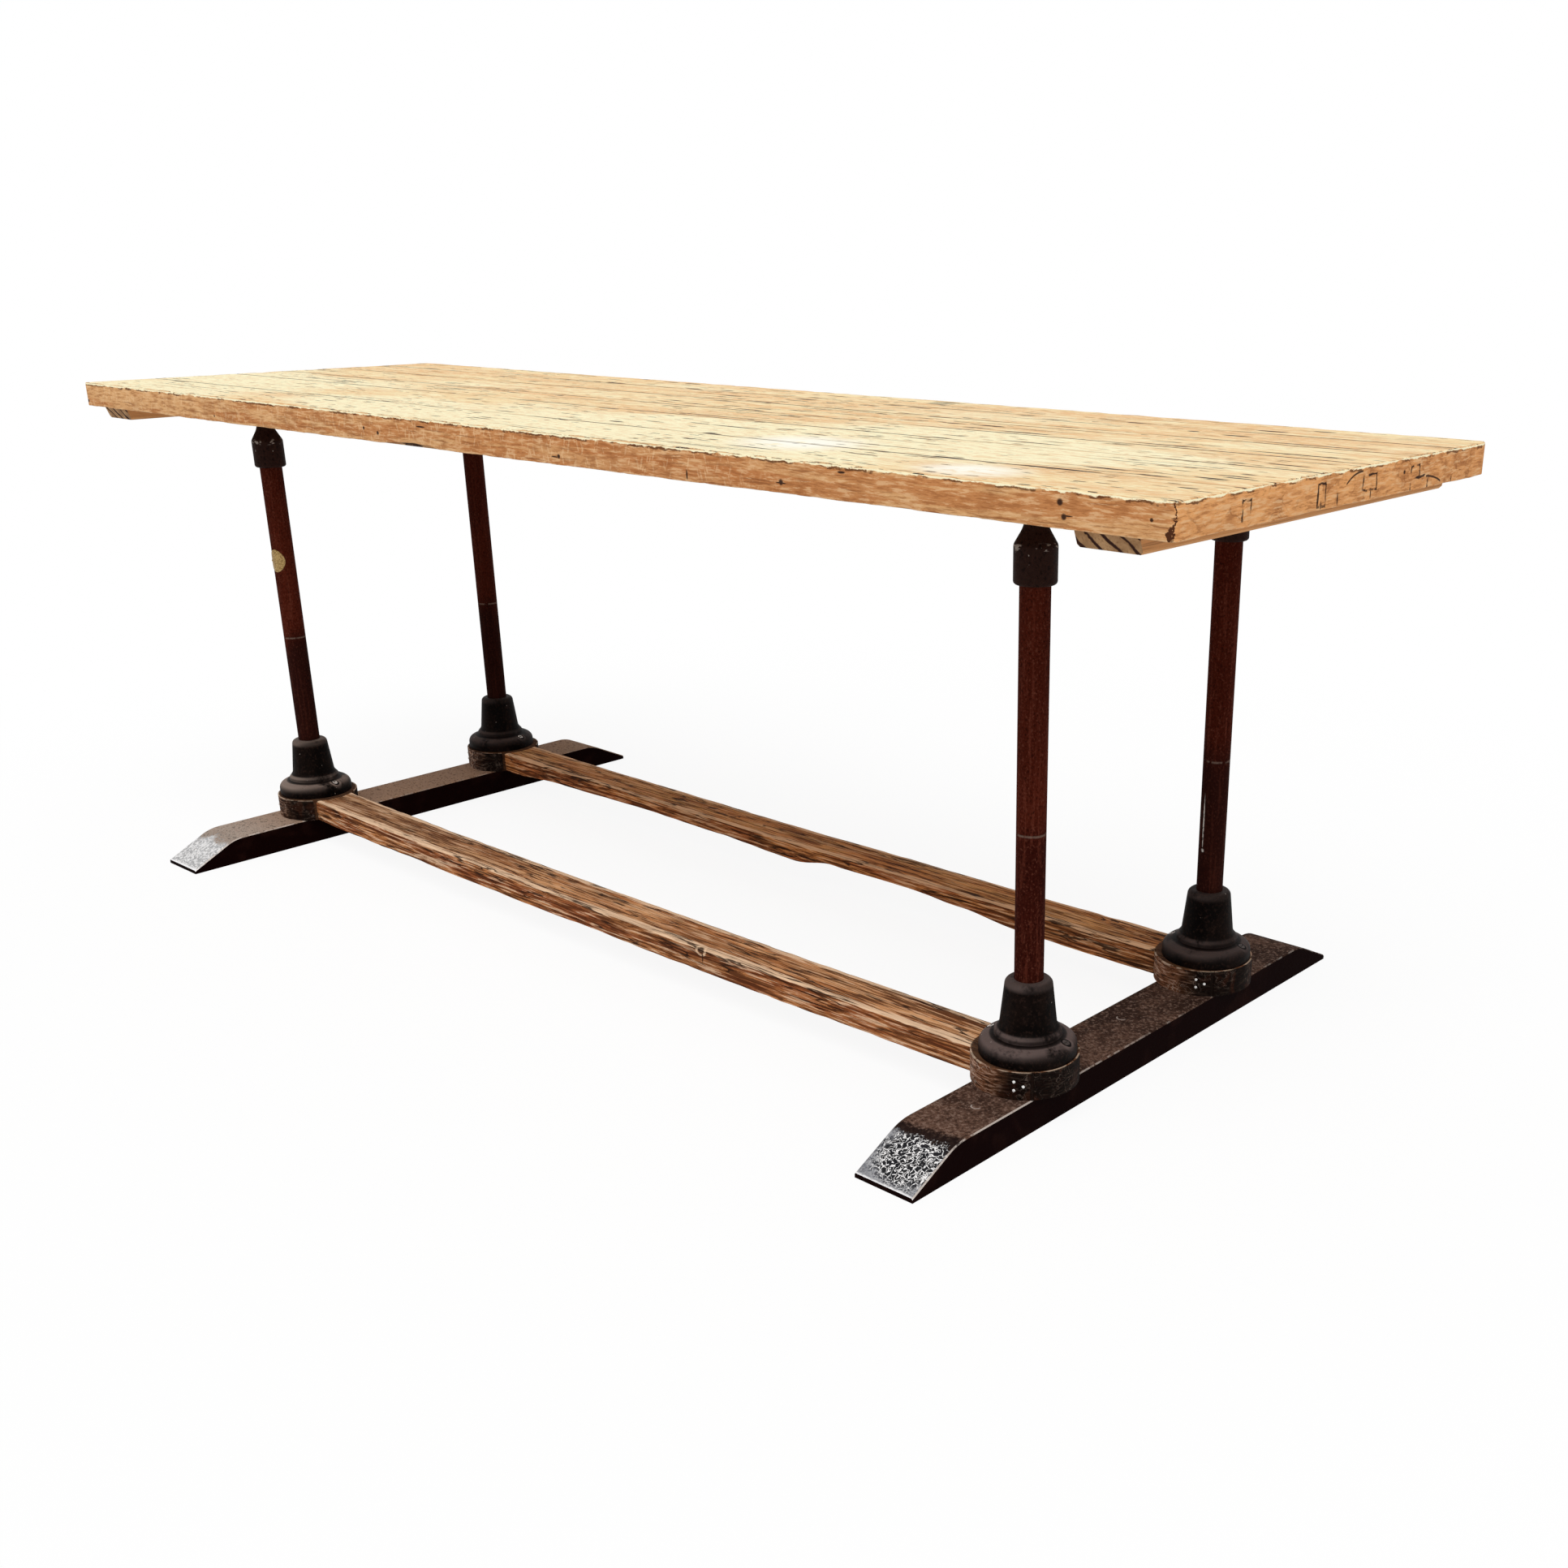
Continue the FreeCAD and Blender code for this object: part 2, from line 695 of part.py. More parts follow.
def make_badge_pins():
    """Two pins, one at each end of the oval plate's short axis."""
    pin = make_domed_nail(
        "badge_pin",
        dim.badge_pin_diameter,
        dim.badge_pin_head,
        dim.badge_pin_head_height,
        dim.badge_thickness + dim.pipe_wall,
    )
    radius = PIPE_RADIUS + dim.badge_thickness
    swing = math.degrees(dim.badge_pin_spacing.value / 2 / radius.value)
    x, y = POSTS["front_left"]
    pins = []
    for turn in (-swing, swing):
        direction = BADGE_TURN - QUARTER_TURN + turn
        angle = math.radians(direction)
        spot = (x + radius * math.cos(angle), y + radius * math.sin(angle), dim.badge_above_floor)
        outward = about_z(direction).multiply(FreeCAD.Rotation(FreeCAD.Vector(0, 1, 0), QUARTER_TURN))
        pins.append(copy_of(pin, *spot, rotation=outward))
    return group("badge_pins", pins)


# The base


def draw_bow(sketch, edge):
    """A shallow arc along one side of a stretcher."""
    left = FreeCAD.Vector(-HALF_LONG.value, edge.value, 0)
    middle = FreeCAD.Vector(0, edge.value - dim.stretcher_bow.value, 0)
    right = FreeCAD.Vector(HALF_LONG.value, edge.value, 0)
    curve = sketch.addGeometry(Part.Arc(left, middle, right))
    first_is_left = sketch.getPoint(curve, 1).x < 0
    left_end, right_end = (1, 2) if first_is_left else (2, 1)
    fix_point(sketch, curve, left_end, -HALF_LONG, edge)
    fix_point(sketch, curve, right_end, HALF_LONG, edge)
    crest = sketch.addGeometry(Part.Point(middle), True)
    fix_point(sketch, crest, 1, ZERO, edge - dim.stretcher_bow)
    sketch.addConstraint(Sketcher.Constraint("PointOnObject", crest, 1, curve))
    return curve


def make_stretcher(side, y, fasteners):
    """A plank with a round pad at each end. It bows a little towards the front."""
    blank = new_body(f"stretcher_{side}_blank")
    half_width = dim.stretcher_width / 2
    plan = new_sketch(blank, "XY_Plane")
    curves = [draw_bow(plan, edge) for edge in (-half_width, half_width)]
    for corner in (1, 2):
        points = [plan.getPoint(curve, corner) for curve in curves]
        line = plan.addGeometry(Part.LineSegment(*points))
        plan.addConstraint(Sketcher.Constraint("Coincident", line, 1, curves[0], corner))
        plan.addConstraint(Sketcher.Constraint("Coincident", line, 2, curves[1], corner))
    plank = pad(blank, plan, dim.stretcher_thickness)

    def upper_arris(edge):
        box = edge.BoundBox
        return abs(box.ZMin - dim.stretcher_thickness.value) < MATCH and box.XLength > box.YLength

    dress(blank, "Chamfer", plank, dim.stretcher_arris, "Size", upper_arris)
    if side == "rear":
        cut_wane(blank)
    pads = new_sketch(blank, "XY_Plane")
    pad_reach = HALF_LONG - dim.pad_inset
    draw_circle(pads, PAD_RADIUS, x=-pad_reach)
    draw_circle(pads, PAD_RADIUS, x=pad_reach)
    pad(blank, pads, dim.stretcher_thickness)
    place(blank, dim.base_offset, y, dim.foot_height)
    return drilled(f"stretcher_{side}", blank, fasteners)


def cut_wane(blank):
    """The wavy lower edge that the rear plank keeps from the tree."""
    wane = new_sketch(blank, "XZ_Plane")
    corners = []
    for along, depth in REAR_WANE_SHARES:
        corners.append((HALF_LONG * (2 * along - 1), dim.stretcher_wane_depth * depth))
    rounded = [(*corner, dim.stretcher_wane_radius) for corner in corners[1:-1]]
    draw_outline(wane, [corners[0], *rounded, corners[-1]])
    pocket(blank, wane)


def make_strap(name, nails):
    """A thin band round a stretcher's pad, open where the plank comes in."""
    blank = new_body(f"strap_{name}_blank")
    outer = PAD_RADIUS + dim.strap_thickness
    ring = new_sketch(blank, "XY_Plane")
    draw_circle(ring, outer)
    draw_circle(ring, PAD_RADIUS)
    pad(blank, ring, dim.stretcher_thickness)
    half_gap = dim.stretcher_width / 2 + dim.strap_gap
    gap = new_sketch(blank, "XY_Plane")
    draw_outline(gap, rectangle(ZERO, -half_gap, outer * 2, half_gap))
    pocket(blank, gap)
    turn = 0 if name.endswith("left") else HALF_TURN
    place(blank, *PADS[name], dim.foot_height, rotation=about_z(turn))
    return drilled(f"strap_{name}", blank, nails)


def make_foot(side, x, bolts):
    """A long flat foot whose ends slope down to thin toes."""
    blank = new_body(f"foot_{side}_blank")
    half = dim.foot_length / 2
    crest = half - dim.foot_toe_slope
    profile = new_sketch(blank, "YZ_Plane")
    draw_outline(
        profile,
        [
            (-half, ZERO),
            (half, ZERO),
            (half, dim.foot_toe_height),
            (crest, dim.foot_height, dim.foot_toe_radius),
            (-crest, dim.foot_height, dim.foot_toe_radius),
            (-half, dim.foot_toe_height),
        ],
    )
    bar = pad(blank, profile, dim.foot_width, symmetric=True)

    def upper_arris(edge):
        box = edge.BoundBox
        return box.XLength < MATCH and box.ZMax > dim.foot_toe_height.value + MATCH

    dress(blank, "Chamfer", bar, dim.foot_arris, "Size", upper_arris)
    recesses = new_sketch(blank, "XY_Plane")
    radius = dim.foot_bolt_head / 2 + dim.foot_bolt_clearance
    draw_circle(recesses, radius, y=-HALF_WIDE)
    draw_circle(recesses, radius, y=HALF_WIDE)
    pocket(blank, recesses, dim.foot_bolt_recess + dim.foot_bolt_head_height, reversed_side=True)
    place(blank, x)
    return drilled(f"foot_{side}", blank, bolts)


def build_table():
    """Makes every sub-part and returns those that are written out."""
    batten_screws = make_batten_screws()
    post_studs = make_post_studs()
    flange_screw_blanks, flange_screws = make_flange_screws()
    foot_bolts = make_foot_bolts()
    strap_nails = make_strap_nails()
    badge_pins = make_badge_pins()
    top_fasteners = group("top_fasteners", [batten_screws, post_studs])
    base_fasteners = group("base_fasteners", [flange_screw_blanks, foot_bolts])
    pad_fasteners = group("pad_fasteners", [flange_screw_blanks, foot_bolts, strap_nails])
    pieces = [batten_screws, post_studs, flange_screws, foot_bolts, strap_nails, badge_pins]
    for number in range(1, BOARD_COUNT + 1):
        pieces.append(make_board(number, top_fasteners))
    for side in BATTENS:
        pieces.append(make_batten(side, batten_screws))
    for name in POSTS:
        post = make_post(name)
        if name == "front_left":
            post.Label = "post_front_left_blank"
            post = drilled("post_front_left", post, badge_pins)
        pieces.append(post)
        pieces.append(make_collar(name, post_studs))
        pieces.append(make_flange(name, base_fasteners))
        pieces.append(make_strap(name, strap_nails))
    for side, y in (("front", -HALF_WIDE), ("rear", HALF_WIDE)):
        pieces.append(make_stretcher(side, y, pad_fasteners))
    for side, x in (("left", LEFT), ("right", RIGHT)):
        pieces.append(make_foot(side, x, foot_bolts))
    pieces.append(make_badge(badge_pins))
    return pieces


def write_pieces(pieces):
    """Checks the document and writes each sub-part to its own file."""
    doc.recompute()
    for item in doc.Objects:
        if "Invalid" in item.State or "Error" in item.State:
            raise RuntimeError(f"{item.Label} did not compute: {item.State}")
    for piece in pieces:
        if piece.Shape.isNull() or not piece.Shape.isValid():
            raise RuntimeError(f"{piece.Label} has no valid shape")
    for piece in pieces:
        piece.Shape.exportStep(f"parts/{piece.Label}.step")
        print(f"{piece.Label}: {len(piece.Shape.Solids)} solid, {piece.Shape.Volume:.0f} mm3")


write_pieces(build_table())
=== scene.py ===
"""Refectory table: scrubbed boards on painted pipe posts, with weathered oak stretchers and dark iron feet.

Metres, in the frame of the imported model. The top's length runs along X, the front edge faces -Y and Z is up.
"""
import math

import bmesh
import bpy
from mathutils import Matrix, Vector, noise


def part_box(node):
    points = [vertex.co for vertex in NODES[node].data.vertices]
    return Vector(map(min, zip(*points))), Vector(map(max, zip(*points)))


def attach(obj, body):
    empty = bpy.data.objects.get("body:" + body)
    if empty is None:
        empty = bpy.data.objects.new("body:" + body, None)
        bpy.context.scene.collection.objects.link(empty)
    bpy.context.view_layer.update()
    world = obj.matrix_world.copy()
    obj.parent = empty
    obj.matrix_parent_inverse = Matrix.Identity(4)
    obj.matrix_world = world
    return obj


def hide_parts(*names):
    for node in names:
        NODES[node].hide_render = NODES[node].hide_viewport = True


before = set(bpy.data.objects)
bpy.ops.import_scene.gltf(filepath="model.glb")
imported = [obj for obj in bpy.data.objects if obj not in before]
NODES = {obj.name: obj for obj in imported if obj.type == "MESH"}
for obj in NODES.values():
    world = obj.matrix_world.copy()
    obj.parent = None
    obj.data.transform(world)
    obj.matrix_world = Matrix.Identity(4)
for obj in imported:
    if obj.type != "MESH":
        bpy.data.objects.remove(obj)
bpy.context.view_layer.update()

# Places read from the model
BOARD_COUNT = 6
BOARD_FRONTS = [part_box(f"board_{number}")[0].y for number in range(1, BOARD_COUNT + 1)]
TOP_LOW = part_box("board_1")[0]
TOP_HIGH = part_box("board_6")[1]
TOP_WIDTH = TOP_HIGH.y - TOP_LOW.y
TOP_MIDDLE = (TOP_LOW.z + TOP_HIGH.z) / 2
SEAMS = BOARD_FRONTS[1:]
POST_NAMES = ("front_left", "front_right", "rear_left", "rear_right")


def middle_of(node):
    low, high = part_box(node)
    return (low + high) / 2


POSTS = {name: middle_of(f"post_{name}") for name in POST_NAMES}
BASE_MIDDLE = (POSTS["front_left"].x + POSTS["front_right"].x) / 2
HALF_SPAN = (POSTS["front_right"].x - POSTS["front_left"].x) / 2
STRETCHER_LOW, STRETCHER_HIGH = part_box("stretcher_front")
PAD_TOP = STRETCHER_HIGH.z
PAD_RADIUS = (STRETCHER_HIGH.y - STRETCHER_LOW.y) / 2
PAD_ENDS = {"left": STRETCHER_LOW.x + PAD_RADIUS, "right": STRETCHER_HIGH.x - PAD_RADIUS}
PADS = {name: Vector((PAD_ENDS[name.split("_")[1]], POSTS[name].y, PAD_TOP)) for name in POST_NAMES}


# Material maths


class Tone:
    """A socket in a material. Arithmetic on tones adds the Math nodes that work it out."""

    def __init__(self, finish, socket):
        self.finish = finish
        self.socket = socket

    def __add__(self, other):
        return self.finish.math("ADD", self, other)

    def __radd__(self, other):
        return self.finish.math("ADD", other, self)

    def __sub__(self, other):
        return self.finish.math("SUBTRACT", self, other)

    def __rsub__(self, other):
        return self.finish.math("SUBTRACT", other, self)

    def __mul__(self, other):
        return self.finish.math("MULTIPLY", self, other)

    def __rmul__(self, other):
        return self.finish.math("MULTIPLY", other, self)

    def __abs__(self):
        return self.finish.math("ABSOLUTE", self)


class Finish:
    """One procedural material, worked out from places on the object."""

    def __init__(self, name):
        self.material = bpy.data.materials.new(name)
        self.material.use_nodes = True
        self.nodes = self.material.node_tree.nodes
        self.links = self.material.node_tree.links
        self.surface = self.nodes["Principled BSDF"]
        self.place = self.node("ShaderNodeTexCoord", output="Object")
        self.x, self.y, self.z = self.axes(self.place)
        facing = self.node("ShaderNodeNewGeometry", output="Normal")
        self.facing_x, self.facing_y, self.facing_z = self.axes(facing)

    def node(self, kind, settings=None, sockets=None, output=0):
        """Adds a node, sets it, then feeds its sockets with values or links, and gives one output."""
        node = self.nodes.new(kind)
        for name, value in (settings or {}).items():
            if name == "stops":
                self.set_stops(node.color_ramp, value)
            else:
                setattr(node, name, value)
        for name, value in (sockets or {}).items():
            self.feed(node.inputs[name], value)
        return Tone(self, node.outputs[output])

    def set_stops(self, ramp, stops):
        """Steps of grey, each held from its own place to the next one's."""
        ramp.interpolation = "CONSTANT"
        for spare in ramp.elements[1:]:
            ramp.elements.remove(spare)
        for index, (where, grey) in enumerate(stops):
            stop = ramp.elements.new(where) if index else ramp.elements[0]
            stop.position = where
            stop.color = (grey, grey, grey, 1)

    def feed(self, socket, value):
        if isinstance(value, Tone):
            self.links.new(value.socket, socket)
        elif socket.type == "RGBA":
            socket.default_value = (*value, 1)
        else:
            socket.default_value = value

    def math(self, operation, *values):
        return self.node("ShaderNodeMath", {"operation": operation}, dict(enumerate(values)))

    def axes(self, vector):
        return [self.node("ShaderNodeSeparateXYZ", None, {"Vector": vector}, axis) for axis in "XYZ"]

    def step(self, value, low, high):
        """0 at low and 1 at high, with a soft step between. High may be the smaller one."""
        sockets = {"Value": value, "From Min": low, "From Max": high}
        return self.node("ShaderNodeMapRange", {"interpolation_type": "SMOOTHSTEP"}, sockets)

    def stretched(self, scale, place=None, shift=(0, 0, 0)):
        sockets = {"Vector": place or self.place, "Scale": scale, "Location": shift}
        return self.node("ShaderNodeMapping", None, sockets)

    def turned(self, turn):
        return self.node("ShaderNodeMapping", None, {"Vector": self.place, "Rotation": turn})

    def moved(self, place, push):
        return self.node("ShaderNodeVectorMath", {"operation": "ADD"}, {0: place, 1: push})

    def wavering(self, place, scale, size):
        """A place pushed a little along Y by noise, so that straight marks come out uneven."""
        sway = (self.cloud(scale, place, detail=2) - 0.5) * size
        return self.moved(place, self.node("ShaderNodeCombineXYZ", None, {"Y": sway}))

    def cloud(self, scale, place=None, detail=3, roughness=0.5, wander=0, shift=(0, 0, 0)):
        """Noise about 0.5, with this many features to the metre along each axis."""
        sockets = {
            "Vector": self.stretched(scale, place, shift),
            "Scale": 1,
            "Detail": detail,
            "Roughness": roughness,
            "Distortion": wander,
        }
        return self.node("ShaderNodeTexNoise", None, sockets)

    def dashes(self, cells, size, share, place=None, shift=(0, 0)):
        """Marks scattered over X and Y, in this share of the cells: 1 inside and 0 past their rims."""
        sockets = {"Vector": self.stretched((*cells, 1), place, (*shift, 0)), "Scale": 1}
        distance = self.node("ShaderNodeTexVoronoi", {"voronoi_dimensions": "2D"}, sockets)
        chance, spread, _ = self.axes(Tone(self, distance.socket.node.outputs["Color"]))
        reach = size * (0.4 + spread)
        return self.step(distance, reach * 1.25, reach * 0.6) * self.step(chance, share + 0.01, share - 0.01)

    def lines(self, field, width):
        """Thin lines where a noise passes its middle."""
        return self.step(abs(field - 0.5), width, width * 0.25)

    def distance(self, place, point):
        return self.node("ShaderNodeVectorMath", {"operation": "DISTANCE"}, {0: place, 1: point}, "Value")

    def nearest(self, points):
        """How far a place is, seen from above, from the nearest of several points."""
        flat = self.stretched((1, 1, 0))
        distances = (self.distance(flat, (point.x, point.y, 0)) for point in points)
        nearest = next(distances)
        for distance in distances:
            nearest = self.math("MINIMUM", nearest, distance)
        return nearest

    def reach(self, point, half_sizes):
        """How far a place is from a point, counted in half sizes along each axis."""
        scale = [1 / size for size in half_sizes]
        shift = [-where / size for where, size in zip(point, half_sizes)]
        return self.distance(self.stretched(scale, shift=shift), (0, 0, 0))

    def spot(self, point, radius):
        """1 within a small round mark."""
        return self.step(self.distance(self.place, point), radius * 1.3, radius * 0.6)

    def streak(self, point, half_sizes):
        """1 within a long mark, which fades out at its rim."""
        return self.step(self.reach(point, half_sizes), 1.1, 0.6)

    def patch(self, point, half_sizes):
        """1 in the middle of a broad soft place."""
        return self.step(self.reach(point, half_sizes), 1.4, 0.2)

    def most(self, marks):
        """The strongest of several marks. A generator's marks are joined one by one as they are made."""
        marks = iter(marks)
        strongest = next(marks)
        for mark in marks:
            strongest = self.math("MAXIMUM", strongest, mark)
        return strongest

    def mix(self, share, first, second):
        """The first colour, going over to the second by its share."""
        return self.node("ShaderNodeMix", {"data_type": "RGBA"}, {0: share, 6: first, 7: second}, 2)

    def bump(self, height, depth):
        return self.node("ShaderNodeBump", None, {"Height": height, "Distance": depth}, "Normal")

    def apply(self, colour, roughness, height=None, depth=0.001, metallic=None, specular=0.3):
        """Joins the finished colour, roughness and relief to the surface."""
        self.feed(self.surface.inputs["Base Color"], colour)
        self.feed(self.surface.inputs["Roughness"], roughness)
        self.feed(self.surface.inputs["Specular IOR Level"], specular)
        if metallic is not None:
            self.feed(self.surface.inputs["Metallic"], metallic)
        if height is not None:
            self.feed(self.surface.inputs["Normal"], self.bump(height, depth))
        return self.material


# Finishes of the top

HONEY = (0.82, 0.525, 0.270)
STRAW = (0.91, 0.71, 0.405)
CREAM = (0.975, 0.905, 0.615)
BLEACHED = (1.0, 0.975, 0.86)
UMBER = (0.46, 0.25, 0.10)
CUT_RIM = (0.36, 0.18, 0.07)
CUT_DARK = (0.022, 0.016, 0.018)
TAN = (0.53, 0.225, 0.080)
LIGHT_TAN = (0.66, 0.36, 0.155)
DEEP_TAN = (0.29, 0.10, 0.030)
GRAIN_DARK = (0.20, 0.065, 0.020)
END_TAN = (0.75, 0.355, 0.130)
SCORED_TAN = (0.80, 0.52, 0.28)
CORNER_DARK = (0.070, 0.022, 0.008)
HOLE_DARK = (0.020, 0.008, 0.006)
RAW_UNDERSIDE = (0.30, 0.17, 0.08)
REDDENED_TAN = (0.45, 0.15, 0.045)
REDDENED_MIDDLE = 0.38
BOARD_TONES = (0.55, 0.72, 0.30, 0.62, 0.20, 0.42)

# Broad pale places on the top, as x, y and half sizes
PALE_PLACES = (
    (0.18, -0.23, 0.50, 0.13),
    (0.26, -0.15, 0.24, 0.10),
    (-0.88, -0.16, 0.30, 0.20),
    (0.62, -0.10, 0.34, 0.15),
    (-0.30, -0.24, 0.30, 0.10),
)

# Pale rubs across the grain, as x, y and half sizes
TOP_RUBS = (
    (0.485, -0.205, 0.085, 0.070),
    (0.797, -0.272, 0.065, 0.045),
)

# Deep cuts in the top, as x, y, half length and half width
TOP_GOUGES = (
    (-0.287, 0.307, 0.022, 0.0050),
    (-0.206, 0.238, 0.022, 0.0050),
    (-0.142, 0.250, 0.018, 0.0044),
    (0.009, 0.015, 0.034, 0.0024),
    (0.049, 0.146, 0.042, 0.0032),
    (0.050, -0.210, 0.011, 0.0040),
    (0.122, -0.181, 0.016, 0.0040),
    (0.150, -0.047, 0.060, 0.0028),
    (0.233, 0.225, 0.022, 0.0032),
    (0.288, 0.220, 0.026, 0.0040),
    (0.294, -0.130, 0.055, 0.0030),
    (0.330, -0.203, 0.020, 0.0034),
    (0.473, -0.274, 0.045, 0.0026),
    (0.612, 0.050, 0.046, 0.0042),
    (0.642, 0.240, 0.016, 0.0042),
    (0.685, -0.032, 0.054, 0.0028),
    (0.710, -0.204, 0.026, 0.0030),
    (0.757, 0.198, 0.010, 0.0044),
    (0.820, 0.049, 0.060, 0.0030),
    (0.826, 0.186, 0.024, 0.0044),
    (0.832, 0.259, 0.026, 0.0050),
    (0.852, -0.204, 0.054, 0.0024),
    (0.884, 0.294, 0.018, 0.0042),
    (0.942, 0.152, 0.085, 0.0028),
    (0.985, 0.060, 0.080, 0.0032),
    (1.018, -0.170, 0.024, 0.0036),
    (1.023, -0.029, 0.031, 0.0030),
    (1.041, -0.245, 0.014, 0.0030),
)

# Old nail holes in the front edge, as x, z and radius
FRONT_HOLES = (
    (-1.075, 0.7212, 0.0024),
    (-0.653, 0.7213, 0.0016),
    (-0.239, 0.7298, 0.0022),
    (-0.205, 0.7255, 0.0025),
    (0.191, 0.7236, 0.0026),
    (0.577, 0.7248, 0.0032),
    (0.953, 0.7378, 0.0034),
    (0.958, 0.7246, 0.0030),
    (1.057, 0.7312, 0.0018),
)

# Cracks and chips in the front edge, as x, z and half sizes
FRONT_CRACKS = (
    (-0.128, 0.7138, 0.062, 0.0030),
    (-0.102, 0.7398, 0.012, 0.0012),
    (0.183, 0.7226, 0.008, 0.0008),
    (0.425, 0.7207, 0.0013, 0.0062),
    (0.577, 0.7242, 0.009, 0.0008),
    (0.668, 0.7425, 0.006, 0.0013),
    (0.962, 0.7258, 0.007, 0.0007),
)

# Outlines of tongues on the ends, as lowest y, highest y, lowest z and highest z
TONGUE_OUTLINES = (
    (-0.2140, -0.1990, 0.7200, 0.7389),
    (-0.0717, -0.0570, 0.7170, 0.7395),
    (0.0211, 0.0501, 0.7240, 0.7397),
    (0.1291, 0.1486, 0.7266, 0.7396),
    (0.1294, 0.1689, 0.7116, 0.7269),
)

# Cracks in the right end, as y, z and half sizes
END_CRACKS = (
    (-0.2135, 0.7260, 0.0010, 0.0062),
    (-0.0710, 0.7265, 0.0010, 0.0100),
    (-0.0650, 0.7185, 0.0011, 0.0048),
    (-0.0318, 0.7215, 0.0013, 0.0068),
    (0.0383, 0.7195, 0.0010, 0.0052),
    (0.2290, 0.7168, 0.0008, 0.0052),
)

# Growth rings that stand out on the right end, as centre y and z, radius, lowest y and highest y
END_ARCS = (
    (0.018, 0.690, 0.0546, -0.014, 0.019),
    (0.160, 0.620, 0.1060, 0.165, 0.202),
)
END_KNOT = (0.1126, 0.7349)
END_KNOT_RADIUS = 0.0022


def share_across(y):
    """A place across the top, as a share of its width."""
    return (y - TOP_LOW.y) / TOP_WIDTH


def board_grain(wood):
    """The place across the top, each board's own tone, and the places that its grain follows.

    Those are moved for each board, so that no grain runs on into the next one.
    """
    across = (wood.y - TOP_LOW.y) * (1 / TOP_WIDTH)
    tones = [(share_across(front), tone) for front, tone in zip(BOARD_FRONTS, BOARD_TONES)]
    board = wood.node("ShaderNodeValToRGB", {"stops": tones}, {"Fac": across})
    own_shift = wood.node("ShaderNodeCombineXYZ", None, {"X": board * 7, "Z": board * 4})
    return across, board, wood.moved(wood.place, own_shift)


def make_scrubbed_wood():
    """The upper faces of the boards, scrubbed pale and cut dark."""
    wood = Finish("scrubbed_wood")
    across, board, grain_place = board_grain(wood)
    fibre = wood.cloud((24, 460, 460), grain_place, detail=3, roughness=0.65)
    cuts = top_cuts(wood, grain_place, across)
    colour = scrubbed_face(wood, grain_place, board, fibre)
    colour = wood.mix(wood.step(cuts, 0.05, 0.50) * 0.7, colour, CUT_RIM)
    colour = wood.mix(wood.step(cuts, 0.40, 0.85), colour, CUT_DARK)
    relief = 0.45 * fibre - 0.9 * cuts
    return wood.apply(colour, 0.64 + 0.2 * fibre, relief, depth=0.0012, specular=0.08)


def make_waxed_wood():
    """The edges, ends and undersides of the boards: waxed tan below a pale worn arris, and raw underneath."""
    wood = Finish("waxed_wood")
    across, board, grain_place = board_grain(wood)
    ragged = wood.cloud((70, 70, 70), detail=4, roughness=0.65)
    marks = edge_marks(wood, ragged)
    colour = waxed_edge(wood, grain_place, ragged)
    colour = wood.mix(marks * 0.95, colour, HOLE_DARK)
    # A broken dark line just below the pale arris: chips, and painted shade under the arris
    splinters = wood.cloud((52, 52, 150), detail=4, roughness=0.65)
    below = TOP_HIGH.z - wood.z + 0.009 * (splinters - 0.5)
    torn = wood.step(wood.cloud((45, 45, 30), detail=3), 0.46, 0.54)
    flecks = wood.step(abs(below - 0.0036), 0.0013, 0.0005) * torn
    colour = wood.mix(flecks * 0.8, colour, CORNER_DARK)
    colour = wood.mix(wood.step(below, 0.0030, 0.0020) * 0.95, colour, CREAM)
    lower_arris = wood.step(wood.z - TOP_LOW.z + 0.002 * (ragged - 0.5), 0.0022, 0.0010)
    colour = wood.mix(lower_arris * wood.step(ragged, 0.46, 0.56) * 0.7, colour, SCORED_TAN)
    fibre = wood.cloud((24, 460, 460), grain_place, detail=3, roughness=0.65)
    raw = wood.mix(wood.step(fibre, 0.4, 0.7), RAW_UNDERSIDE, DEEP_TAN)
    raw = wood.mix(board * 0.35, raw, SCORED_TAN)
    raw = wood.mix(wood.step(from_seam(wood, across), 0.0020, 0.0007) * 0.9, raw, CUT_DARK)
    colour = wood.mix(wood.step(wood.facing_z, -0.6, -0.9), colour, raw)
    relief = 0.45 * fibre + 0.25 * ragged - marks
    return wood.apply(colour, 0.64 + 0.2 * fibre, relief, depth=0.0012, specular=0.08)


def from_seam(wood, across):
    """How far a place is from the nearest seam between two boards."""
    midway = [(front + back) / 2 for front, back in zip(SEAMS, SEAMS[1:])]
    nearest = [(share_across(start), share_across(seam)) for start, seam in zip([TOP_LOW.y, *midway], SEAMS)]
    seam = wood.node("ShaderNodeValToRGB", {"stops": nearest}, {"Fac": across})
    return abs(across - seam) * TOP_WIDTH


